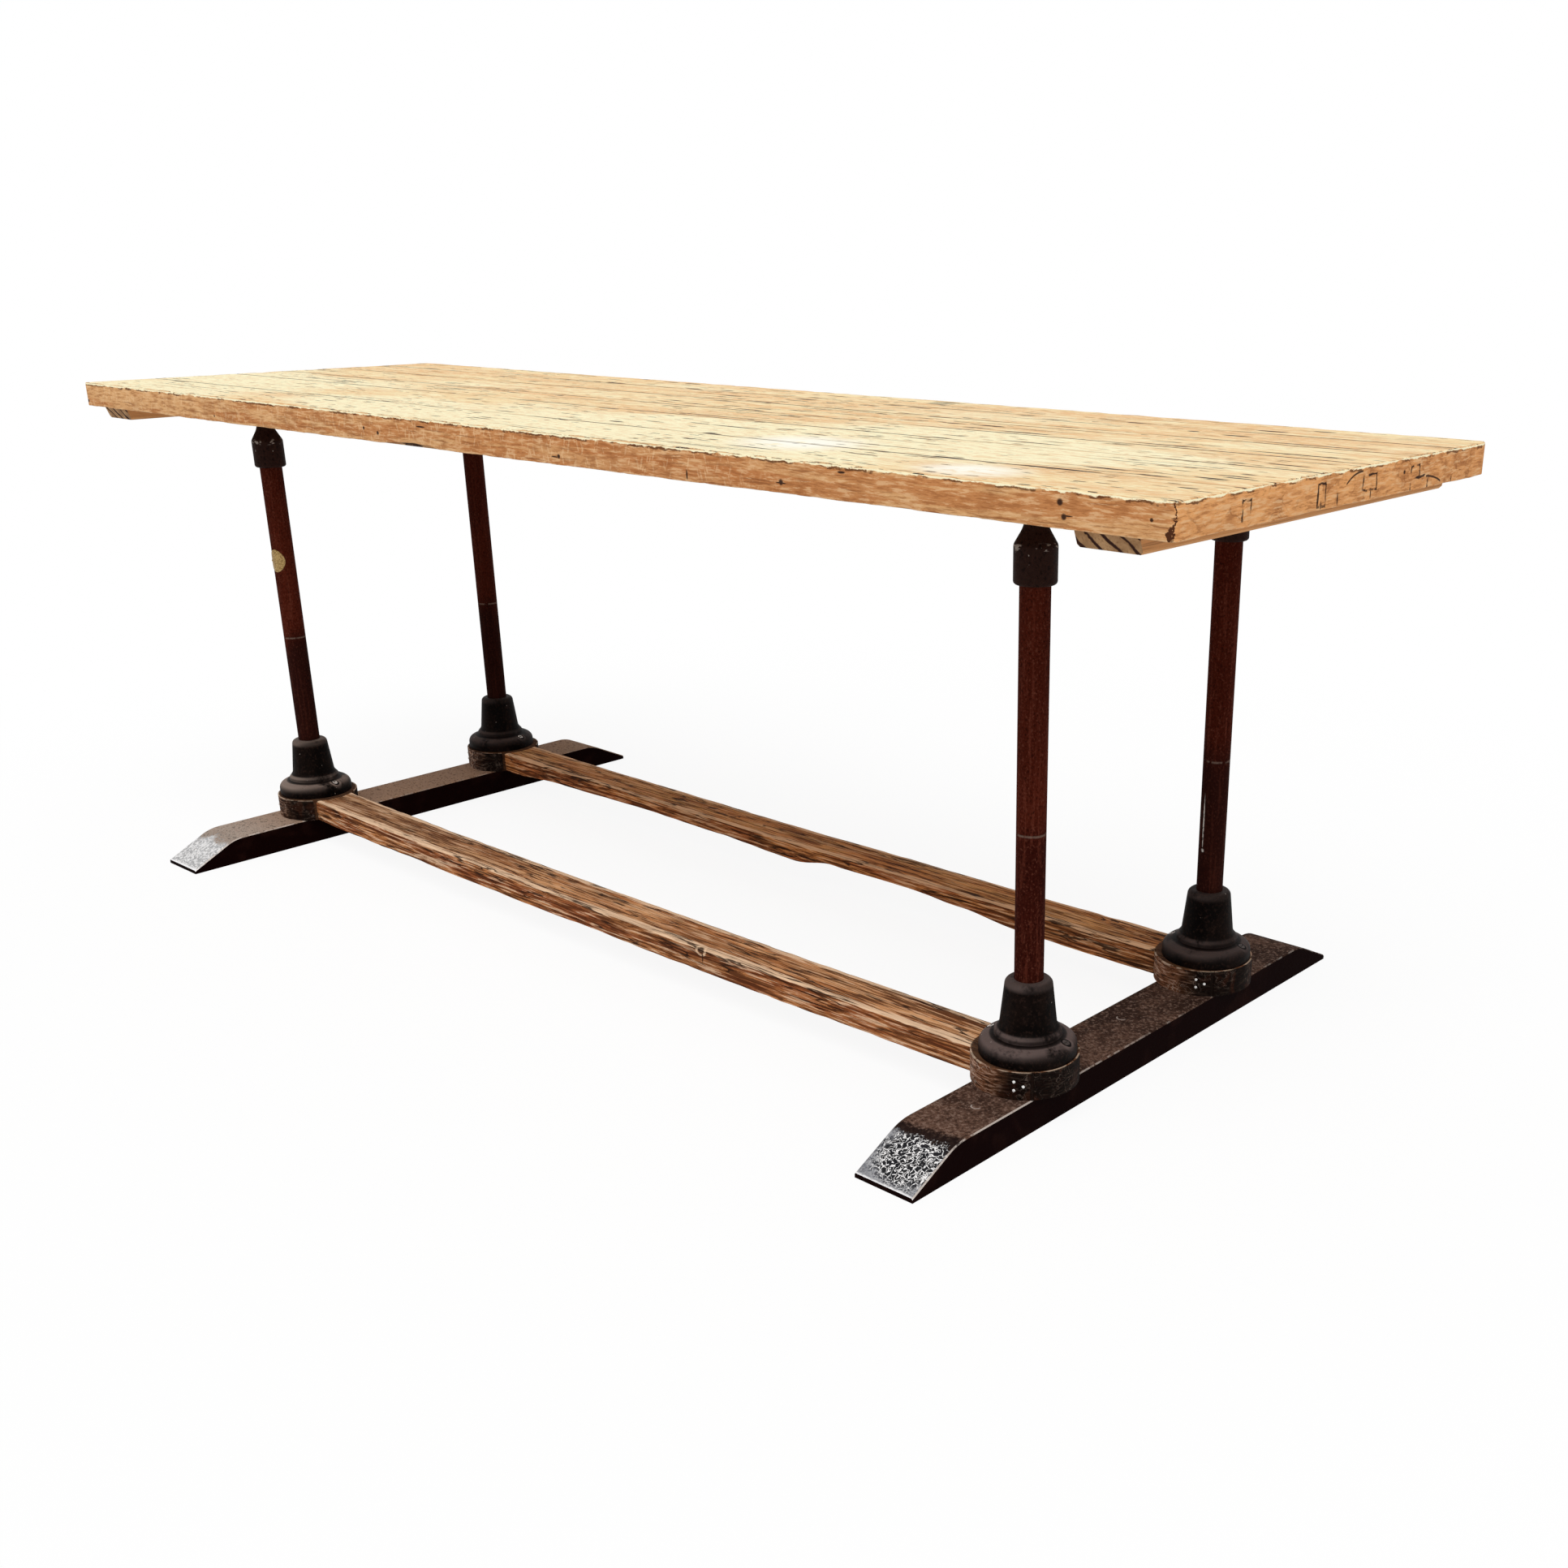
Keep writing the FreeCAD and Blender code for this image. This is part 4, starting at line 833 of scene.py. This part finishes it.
def make_stretcher_wood(name, pale, golden, ruddy, splinter, greying):
    """Weathered oak: cracked along the grain, pale on the worn upper arrises and ruddy on the faces."""
    oak = Finish(name)
    grain = oak.cloud((12, 280, 280), detail=4, roughness=0.66, wander=0.25)
    fibre = oak.cloud((20, 620, 620), detail=3, roughness=0.6)
    figure = oak.cloud((6, 60, 60), detail=4, wander=0.6)
    patches = oak.cloud((6, 24, 24), detail=3)
    worn = oak.node("ShaderNodeAttribute", {"attribute_name": "worn"}, output="Fac")
    groove = oak.node("ShaderNodeAttribute", {"attribute_name": "groove"}, output="Fac")
    upward = oak.step(oak.facing_z, 0.45, 0.80)
    face = oak.mix(oak.step(figure, 0.42, 0.60), ruddy, golden)
    crown = oak.mix(oak.step(figure, 0.42, 0.58), golden, pale)
    crown = oak.mix(oak.step(oak.x, 0.10, -0.55) * greying, crown, GREYED_OAK)
    colour = oak.mix(upward, face, crown)
    colour = oak.mix(oak.step(patches, 0.50, 0.62) * 0.45, colour, BROWN_OAK)
    colour = oak.mix(oak.step(grain, 0.47, 0.40) * (0.66 - 0.16 * upward), colour, splinter)
    splinters = oak.step(worn + 0.6 * (patches - 0.5) + 1.1 * (0.5 - grain), 0.36, 0.50)
    colour = oak.mix(splinters * 0.92, colour, splinter)
    colour = oak.mix(oak.step(fibre, 0.52, 0.60) * (0.55 - 0.42 * splinters), colour, FIBRE_DARK)
    sodden = oak.patch(SODDEN_END, (0.15, 0.026, 1)) * upward
    dark_grain = oak.step(grain + 0.030 * (1 - upward) + 0.10 * sodden, 0.535, 0.585)
    colour = oak.mix(dark_grain * (0.82 - 0.50 * splinters), colour, OAK_GRAIN_DARK)
    check = oak.lines(oak.cloud((7, 90, 90), detail=3, wander=0.4, shift=(4, 2, 1)), 0.028)
    checks = check * oak.step(oak.cloud((9, 34, 34), detail=2, shift=(1, 7, 3)), 0.45, 0.54)
    cracks = oak.most([checks, oak.step(groove, 0.35, 0.90) * oak.step(grain, 0.46, 0.54)])
    colour = oak.mix(cracks * 0.9, colour, CRACK_DARK)
    from_knot = oak.distance(oak.place, KNOT) + 0.010 * (grain - 0.5)
    knot_split = oak.streak(KNOT_SPLIT, (0.0016, 0.012, 0.011))
    knot = oak.most([oak.step(from_knot, 0.0070, 0.0045), knot_split])
    colour = oak.mix(oak.step(abs(from_knot - 0.0090), 0.0026, 0.0010) * 0.7, colour, splinter)
    colour = oak.mix(knot * 0.85, colour, CRACK_DARK)
    pads = oak.step(oak.nearest(PADS.values()), PAD_RADIUS + 0.003, PAD_RADIUS + 0.001)
    colour = oak.mix(pads * 0.92, colour, PAD_DARK)
    relief = 0.4 * fibre + 0.7 * (1 - grain) - 1.2 * cracks
    return oak.apply(colour, 0.70 + 0.2 * fibre, relief, depth=0.0018, specular=0.06)


STRAP_BROWN = (0.185, 0.074, 0.034)
STRAP_GREY = (0.050, 0.028, 0.020)
STRAP_PAINTED_SHADE = (0.0034, 0.0015, 0.0009)
STRAP_RED = (0.034, 0.010, 0.0045)
STRAP_FIBRE_PALE = (0.52, 0.33, 0.24)
STRAP_FIBRE_DARK = (0.009, 0.0030, 0.0018)
SCUFF_PALE = (0.56, 0.42, 0.34)
SEAM_BLACK = (0.006, 0.003, 0.002)
LIP_PALE = (0.70, 0.54, 0.40)


def make_strap_wood():
    """Thin scuffed brown bands, with painted shade that turns their right-facing sides nearly black and dims
    the fibres, scuffs and lip there, each with a lap seam beside its nails.
    """
    strap = Finish("strap_wood")
    fibre = strap.cloud((55, 55, 420), detail=4, roughness=0.65)
    patches = strap.cloud((40, 40, 34), detail=4, wander=0.8)
    # Painted shade: faces turned towards +X go over to near black
    leftward = strap.step(strap.facing_x + 0.7 * (patches - 0.5), 0.45, -0.30)
    front_left = strap.step(strap.x - 0.5 * strap.y, 0.0, -0.4)
    brown = strap.mix(front_left * 0.7, STRAP_BROWN, STRAP_GREY)
    colour = strap.mix(leftward, STRAP_PAINTED_SHADE, brown)
    colour = strap.mix(strap.step(patches, 0.51, 0.62) * 0.5, colour, STRAP_RED)
    colour = strap.mix(strap.step(fibre, 0.52, 0.60) * (0.03 + 0.72 * leftward), colour, STRAP_FIBRE_PALE)
    colour = strap.mix(strap.step(fibre, 0.47, 0.40) * 0.80, colour, STRAP_FIBRE_DARK)
    scuffs = strap.lines(strap.cloud((75, 75, 75), detail=2, wander=1.4), 0.024)
    scuffed = scuffs * strap.step(strap.cloud((26, 26, 26), detail=2, shift=(3, 1, 8)), 0.46, 0.56)
    colour = strap.mix(scuffed * (0.10 + 0.7 * leftward), colour, SCUFF_PALE)
    seams = strap.step(strap.nearest(LAP_SEAMS), 0.0034, 0.0024)
    colour = strap.mix(seams * 0.85, colour, SEAM_BLACK)
    lip = strap.step(strap.z, PAD_TOP - 0.0016, PAD_TOP - 0.0005) * strap.step(patches, 0.44, 0.52)
    colour = strap.mix(lip * (0.10 + 0.7 * leftward), colour, LIP_PALE)
    relief = fibre + 0.4 * patches - seams
    return strap.apply(colour, 0.55 + 0.25 * fibre, relief, depth=0.0012, specular=0.03)


# Modelling

# How closely two places agree when an edge is picked by its place
CLOSE = 0.0001
SMOOTH_ANGLE = math.radians(38)


def start_box(name, low, high):
    """A box between two corners, left in edit mode."""
    low, high = Vector(low), Vector(high)
    bpy.ops.object.select_all(action="DESELECT")
    bpy.ops.mesh.primitive_cube_add(size=1, location=(low + high) / 2, scale=high - low)
    bpy.ops.object.transform_apply(location=True, rotation=True, scale=True)
    bpy.context.object.name = name
    bpy.ops.object.mode_set(mode="EDIT")
    return bpy.context.object


def select_edges(piece, chosen):
    """Selects the edges of the edited piece that the chosen test picks."""
    bpy.ops.mesh.select_mode(type="EDGE")
    bpy.ops.mesh.select_all(action="DESELECT")
    mesh = bmesh.from_edit_mesh(piece.data)
    mesh.normal_update()
    for edge in mesh.edges:
        if chosen(edge):
            edge.select_set(True)
    bmesh.update_edit_mesh(piece.data)


def cut_plane(point, normal):
    bpy.ops.mesh.select_all(action="SELECT")
    bpy.ops.mesh.bisect(plane_co=point, plane_no=normal)


def runs(edge, axis, shortest=0.0):
    """True for an edge along one axis that is longer than the shortest."""
    step = edge.verts[1].co - edge.verts[0].co
    return abs(step[axis]) > max(shortest, 0.99 * step.length)


def subdivide_along(piece, axis, cuts, shortest=0.0):
    select_edges(piece, lambda edge: runs(edge, axis, shortest))
    bpy.ops.mesh.subdivide(number_cuts=cuts)


def bevel(piece, chosen, width, segments):
    select_edges(piece, chosen)
    bpy.ops.mesh.bevel(offset=width, segments=segments, affect="EDGES")


def close_edit():
    """Leaves edit mode with smooth faces between the sharp edges."""
    bpy.ops.mesh.select_all(action="SELECT")
    bpy.ops.mesh.normals_make_consistent(inside=False)
    bpy.ops.object.mode_set(mode="OBJECT")
    bpy.ops.object.shade_smooth_by_angle(angle=SMOOTH_ANGLE)


def ripple(place, features, shift=(0, 0, 0)):
    """Smooth noise about zero at a place, with this many features to the metre along each axis."""
    return noise.noise(Vector([along * count + start for along, count, start in zip(place, features, shift)]))


def hand_over(piece, node, slot, *materials):
    """Puts a finished piece in the place of a node."""
    piece.data.materials.clear()
    for material in materials:
        piece.data.materials.append(material)
    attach(piece, "root")
    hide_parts(node)


# The boards

LENGTH_CUTS = 9
FRONT_LENGTH_CUTS = 16
WIDTH_CUTS = 7
OUTER_ARRIS = 0.0014
JOINT_ARRIS = 0.0007
FACE_UP = 0.6
FRONT_CORNER = 0.007
REAR_CORNER = 0.022
CHIP_MIDDLE = -0.128
CHIP_REACH = 0.062
CHIP_DEPTH = 0.004
WORN_BAND = 0.004
KNOCK_DEPTH = 0.0009
NICK_DEPTH = 0.0008


def make_board(number, scrubbed_wood, waxed_wood):
    """One board, its outer corners rounded and its arrises worn."""
    first = number == 1
    last = number == BOARD_COUNT
    front = BOARD_FRONTS[number - 1]
    back = TOP_HIGH.y if last else BOARD_FRONTS[number]
    board = start_box(f"worn_board_{number}", (TOP_LOW.x, front, TOP_LOW.z), (TOP_HIGH.x, back, TOP_HIGH.z))
    for _ in range(2):
        subdivide_along(board, 0, FRONT_LENGTH_CUTS if first else LENGTH_CUTS)
    subdivide_along(board, 1, WIDTH_CUTS)
    if first:
        round_corners(board, front + FRONT_CORNER, FRONT_CORNER, -1)
    if last:
        round_corners(board, back - REAR_CORNER, REAR_CORNER, 1)

    def at_joint(edge):
        y = (edge.verts[0].co.y + edge.verts[1].co.y) / 2
        return (abs(y - front) < CLOSE and not first) or (abs(y - back) < CLOSE and not last)

    def on_rim(edge):
        level = edge.verts[0].co.z == edge.verts[1].co.z
        return level and edge.calc_face_angle(0) > 1

    bevel(board, lambda edge: on_rim(edge) and at_joint(edge), JOINT_ARRIS, 1)
    bevel(board, lambda edge: on_rim(edge) and not at_joint(edge), OUTER_ARRIS, 3)
    close_edit()
    wear_board(board, first, last)
    hand_over(board, f"board_{number}", "top_wood", waxed_wood, scrubbed_wood)
    for face in board.data.polygons:
        face.material_index = int(face.normal.z > FACE_UP)


def round_corners(board, centre_y, radius, side):
    """Cuts the ends of a board finely and draws its two outer corners into arcs."""
    centre_x = TOP_HIGH.x - radius
    for share in (0, 0.35, 0.7):
        for end in (-1, 1):
            cut_plane((end * (centre_x + share * radius), 0, 0), (1, 0, 0))
        cut_plane((0, centre_y + side * share * radius, 0), (0, 1, 0))
    mesh = bmesh.from_edit_mesh(board.data)
    for vertex in mesh.verts:
        beyond = Vector((abs(vertex.co.x) - centre_x, side * (vertex.co.y - centre_y)))
        if min(beyond) > 0 and beyond.length > radius:
            beyond *= radius / beyond.length
            vertex.co.x = math.copysign(centre_x + beyond.x, vertex.co.x)
            vertex.co.y = centre_y + side * beyond.y
    bmesh.update_edit_mesh(board.data)


def wear_board(board, first, last):
    """Pushes in the outer arrises here and there, as knocks and use have done."""
    for vertex in board.data.vertices:
        place = vertex.co.copy()
        gaps = [TOP_HIGH.x - abs(place.x)]
        if first:
            gaps.append(place.y - TOP_LOW.y)
        if last:
            gaps.append(TOP_HIGH.y - place.y)
        from_side = max(0, min(gaps))
        from_face = max(0, min(place.z - TOP_LOW.z, TOP_HIGH.z - place.z))
        if from_side > WORN_BAND or from_face > WORN_BAND:
            continue
        knock = ripple(place, (28, 28, 40))
        nick = ripple(place, (90, 90, 60))
        depth = KNOCK_DEPTH * max(0, knock + 0.1) + NICK_DEPTH * max(0, nick)
        if first and place.z < TOP_MIDDLE:
            depth += CHIP_DEPTH * max(0, 1 - abs(place.x - CHIP_MIDDLE) / CHIP_REACH)
        vertex.co.z += math.copysign(depth, TOP_MIDDLE - place.z)
        if first and place.y - TOP_LOW.y < WORN_BAND:
            vertex.co.y += depth
        if last and TOP_HIGH.y - place.y < WORN_BAND:
            vertex.co.y -= depth
        if TOP_HIGH.x - abs(place.x) < WORN_BAND:
            vertex.co.x -= math.copysign(depth, place.x)


# The stretchers

PLANK_WIDTH = 0.068
PLANK_WIDTH_CUTS = 17
PLANK_HEIGHT_CUTS = 8
PLANK_LENGTH_CUTS = 20
PLANK_BOW = 0.011
LOWER_ARRIS = {"front": 0.0012, "rear": 0.0060}
PLANK_ARRIS = 0.0024
ARRIS_REACH = 0.0060
RUB_WIDTH = 0.018
RUB_DROP = 0.0045

# How deep and wide the cracks are, and how much wood the arrises and faces have lost
GROOVE_DEPTH = 0.0012
GROOVE_WIDTH = 0.12
SWELL_LOSS = 0.0010
TEAR_LOSS = 0.0014
LOWER_SHARE = 0.3
FACE_LOSS = 0.0003

PAD_SIDES = 72
PAD_ARRIS = 0.0012

# The wane under the rear plank, as shares of its length from left to right and rises from the underside
WANE = (
    (0.0, 0.0),
    (0.05, 0.0),
    (0.15, 0.009),
    (0.30, 0.0135),
    (0.42, 0.0117),
    (0.53, 0.0063),
    (0.585, 0.0171),
    (0.68, 0.018),
    (0.75, 0.0126),
    (0.82, 0.0027),
    (0.88, 0.0),
    (1.0, 0.0),
)


def wane_rise(share):
    """How far the rear plank's underside is cut away, with easy curves between the named places."""
    for (start, low), (end, high) in zip(WANE, WANE[1:]):
        if start <= share <= end:
            part = (share - start) / (end - start)
            return low + (high - low) * part * part * (3 - 2 * part)
    return 0.0


def make_stretcher(side, material):
    """A rough plank with a round pad at each end. The rear one is rounder underneath."""
    low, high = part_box(f"stretcher_{side}")
    centre_y = (high.y + low.y) / 2
    front_y = centre_y - PLANK_WIDTH / 2
    back_y = centre_y + PLANK_WIDTH / 2
    left, right = PAD_ENDS["left"], PAD_ENDS["right"]
    plank = start_box(f"rough_stretcher_{side}", (left, front_y, low.z), (right, back_y, high.z))
    middle_z = (low.z + high.z) / 2
    bevel(plank, lambda edge: runs(edge, 0) and edge.verts[0].co.z > middle_z, PLANK_ARRIS, 3)
    bevel(plank, lambda edge: runs(edge, 0) and edge.verts[0].co.z == low.z, LOWER_ARRIS[side], 3)
    subdivide_along(plank, 1, PLANK_WIDTH_CUTS, shortest=0.03)
    subdivide_along(plank, 2, PLANK_HEIGHT_CUTS, shortest=0.02)
    for _ in range(2):
        subdivide_along(plank, 0, PLANK_LENGTH_CUTS)
    close_edit()
    weather_plank(plank, front_y, back_y, low.z, high.z, side == "rear")
    pads = [make_pad(x, centre_y, low.z, high.z) for x in (left, right)]
    bpy.ops.object.select_all(action="DESELECT")
    for piece in (*pads, plank):
        piece.select_set(True)
    bpy.context.view_layer.objects.active = plank
    bpy.ops.object.join()
    hand_over(plank, f"stretcher_{side}", "stretcher_wood", material)


def weather_plank(plank, front_y, back_y, low_z, high_z, has_wane):
    """Bows the plank, cuts its wane, opens its grain and notes how worn and how cracked each place is."""
    worn = plank.data.attributes.new("worn", "FLOAT", "POINT")
    grooves = plank.data.attributes.new("groove", "FLOAT", "POINT")
    middle_y = (front_y + back_y) / 2
    middle_z = (low_z + high_z) / 2
    for vertex in plank.data.vertices:
        place = vertex.co.copy()
        from_side = max(0, min(place.y - front_y, back_y - place.y))
        from_top = max(0, high_z - place.z)
        from_face = max(0, min(place.z - low_z, from_top))
        on_arris = max(0, 1 - math.hypot(from_side, from_face) / ARRIS_REACH)
        rubbing_and_highlight = max(0, 1 - math.hypot(from_side / RUB_WIDTH, from_top / RUB_DROP))
        along = (place.x - BASE_MIDDLE) / HALF_SPAN
        swell = ripple(place, (5, 30, 30))
        tear = ripple(place, (34, 60, 60), (0, 7, 0))
        split = ripple(place, (3.2, 46, 46), (0, 0, 3))
        opening = ripple(place, (4, 12, 12), (0, 5, 0))
        groove = max(0, 1 - abs(split) / GROOVE_WIDTH) * min(1, max(0, 4 * opening + 0.2))
        worn.data[vertex.index].value = rubbing_and_highlight
        grooves.data[vertex.index].value = groove * (1 - on_arris)
        loss = on_arris * (SWELL_LOSS * max(0, swell + 0.3) + TEAR_LOSS * max(0, tear))
        if place.z < middle_z:
            loss *= LOWER_SHARE
        loss += FACE_LOSS * (swell + 1) + FACE_LOSS * (tear + 1) + GROOVE_DEPTH * groove
        if from_side < PLANK_ARRIS:
            vertex.co.y += math.copysign(loss, middle_y - place.y)
        if from_face < PLANK_ARRIS:
            vertex.co.z += math.copysign(loss, middle_z - place.z)
        if has_wane:
            height = (high_z - vertex.co.z) / (high_z - low_z)
            vertex.co.z += wane_rise((along + 1) / 2) * height
        vertex.co.y -= PLANK_BOW * (1 - along * along)


def make_pad(x, y, low_z, high_z):
    """A stretcher's round end, under a flange."""
    middle = (x, y, (low_z + high_z) / 2)
    bpy.ops.object.select_all(action="DESELECT")
    bpy.ops.mesh.primitive_cylinder_add(
        vertices=PAD_SIDES, radius=PAD_RADIUS, depth=high_z - low_z, location=middle
    )
    bpy.ops.object.transform_apply(location=True, rotation=True, scale=True)
    pad = bpy.context.object
    bpy.ops.object.mode_set(mode="EDIT")
    bevel(pad, lambda edge: abs(edge.verts[0].co.z - edge.verts[1].co.z) < CLOSE, PAD_ARRIS, 2)
    close_edit()
    return pad


# Dressing the model


def dress_nodes(material, names):
    for name in names:
        NODES[name].material_slots[0].material = material


def dress_model():
    """Makes the worn pieces and gives every other node its finish."""
    scrubbed_wood = make_scrubbed_wood()
    waxed_wood = make_waxed_wood()
    for number in range(1, BOARD_COUNT + 1):
        make_board(number, scrubbed_wood, waxed_wood)
    for side, tones in OAK_TONES.items():
        make_stretcher(side, make_stretcher_wood(f"{side}_oak", *tones))
    dress_nodes(make_batten_wood(), ("batten_left", "batten_right"))
    dress_nodes(make_post_paint(), [f"post_{name}" for name in POST_NAMES])
    castings = [f"{kind}_{name}" for kind in ("collar", "flange") for name in POST_NAMES]
    dress_nodes(make_casting_iron(), castings)
    dress_nodes(make_strap_wood(), [f"strap_{name}" for name in POST_NAMES])
    dress_nodes(make_foot_iron(), ("foot_left", "foot_right"))
    dress_nodes(make_screw_iron(), ("flange_screws",))
    nail = make_plain_metal("nail_steel", NAIL_DARK, NAIL_LIGHT, roughness=0.45, metallic=0.3)
    dress_nodes(nail, ("strap_nails",))
    steel = make_plain_metal("fastener_steel", STEEL_DARK, STEEL_LIGHT, roughness=0.45, metallic=0.8)
    dress_nodes(steel, ("batten_screws", "foot_bolts", "post_studs"))
    brass = make_plain_metal(
        "badge_brass", BRASS_DARK, BRASS_LIGHT, roughness=0.42, metallic=0.6, specular=0.4
    )
    dress_nodes(brass, ("badge_plate", "badge_pins"))


# The floor, the light and the camera

FLOOR_SIZE = 40
FLOOR_GREY = (0.93, 0.93, 0.93)
WHITE = (1, 1, 1)
SHADOW_NEAR = 1.2
SHADOW_FAR = 2.2


def make_floor():
    """A pale floor that keeps the shadow near the table and goes over to plain white further out."""
    bpy.ops.object.select_all(action="DESELECT")
    bpy.ops.mesh.primitive_plane_add(size=FLOOR_SIZE)
    floor = bpy.context.object
    floor.name = "floor"
    pale = Finish("pale_floor")
    pale.apply(FLOOR_GREY, 0.9, specular=0.0)
    white = pale.node("ShaderNodeEmission", None, {"Color": WHITE, "Strength": 1})
    seen = seen_directly(pale)
    far = pale.step(pale.distance(pale.place, (BASE_MIDDLE, 0, 0)), SHADOW_NEAR, SHADOW_FAR)
    share = seen * (0.90 + 0.10 * far)
    surface = Tone(pale, pale.surface.outputs[0])
    both = pale.node("ShaderNodeMixShader", None, {0: share, 1: surface, 2: white})
    pale.feed(pale.nodes["Material Output"].inputs["Surface"], both)
    floor.data.materials.append(pale.material)


def seen_directly(finish):
    """1 for what the camera, a gloss or a glass shows, and 0 for what only lights the object."""
    kinds = ("Camera", "Glossy", "Transmission")
    return finish.most(finish.node("ShaderNodeLightPath", output=f"Is {kind} Ray") for kind in kinds)


class Sky(Finish):
    """The world, white where it is seen and softer where it lights the object."""

    def __init__(self, strength):
        self.material = bpy.data.worlds.new("studio")
        self.material.use_nodes = True
        self.nodes = self.material.node_tree.nodes
        self.links = self.material.node_tree.links
        white = self.node("ShaderNodeBackground", None, {"Color": WHITE, "Strength": 1})
        soft = self.node("ShaderNodeBackground", None, {"Color": WHITE, "Strength": strength})
        both = self.node("ShaderNodeMixShader", None, {0: seen_directly(self), 1: soft, 2: white})
        self.feed(self.nodes["World Output"].inputs["Surface"], both)
        bpy.context.scene.world = self.material


SKY_STRENGTH = 0.5
LAMP_STRENGTH = 1.9
LAMP_SPREAD = math.radians(50)
LAMP_DIRECTION = Vector((-0.35, 0.45, -1.0))


def make_light():
    """A soft sky and one broad lamp from above, in front and to the right."""
    Sky(SKY_STRENGTH)
    lamp = bpy.data.lights.new("overhead", "SUN")
    lamp.energy = LAMP_STRENGTH
    lamp.angle = LAMP_SPREAD
    overhead = bpy.data.objects.new("overhead", lamp)
    overhead.rotation_euler = LAMP_DIRECTION.to_track_quat("-Z", "Y").to_euler()
    bpy.context.scene.collection.objects.link(overhead)


# The camera fitted to the photograph, in pixels, metres and radians
IMAGE_SIZE = 1932
FOCAL_PIXELS = 2096.7
IMAGE_CENTRE = (1180.0, 1109.8)
CAMERA_PLACE = (1.93446, -1.62079, 0.96252)
CAMERA_DROP = 0.36779
CAMERA_TURN = 0.70801

# In millimetres, as the lens is
SENSOR_WIDTH = 36


def make_camera():
    """The camera at the photograph's place, with the shift that its framing needs."""
    lens = bpy.data.cameras.new("camera")
    lens.sensor_width = SENSOR_WIDTH
    lens.lens = SENSOR_WIDTH * FOCAL_PIXELS / IMAGE_SIZE
    lens.shift_x = (IMAGE_SIZE / 2 - IMAGE_CENTRE[0]) / IMAGE_SIZE
    lens.shift_y = (IMAGE_CENTRE[1] - IMAGE_SIZE / 2) / IMAGE_SIZE
    camera = bpy.data.objects.new("camera", lens)
    camera.location = CAMERA_PLACE
    camera.rotation_euler = (math.pi / 2 - CAMERA_DROP, 0, CAMERA_TURN)
    bpy.context.scene.collection.objects.link(camera)
    bpy.context.scene.camera = camera


dress_model()
make_floor()
make_light()
make_camera()
bpy.context.scene.view_settings.view_transform = "Standard"
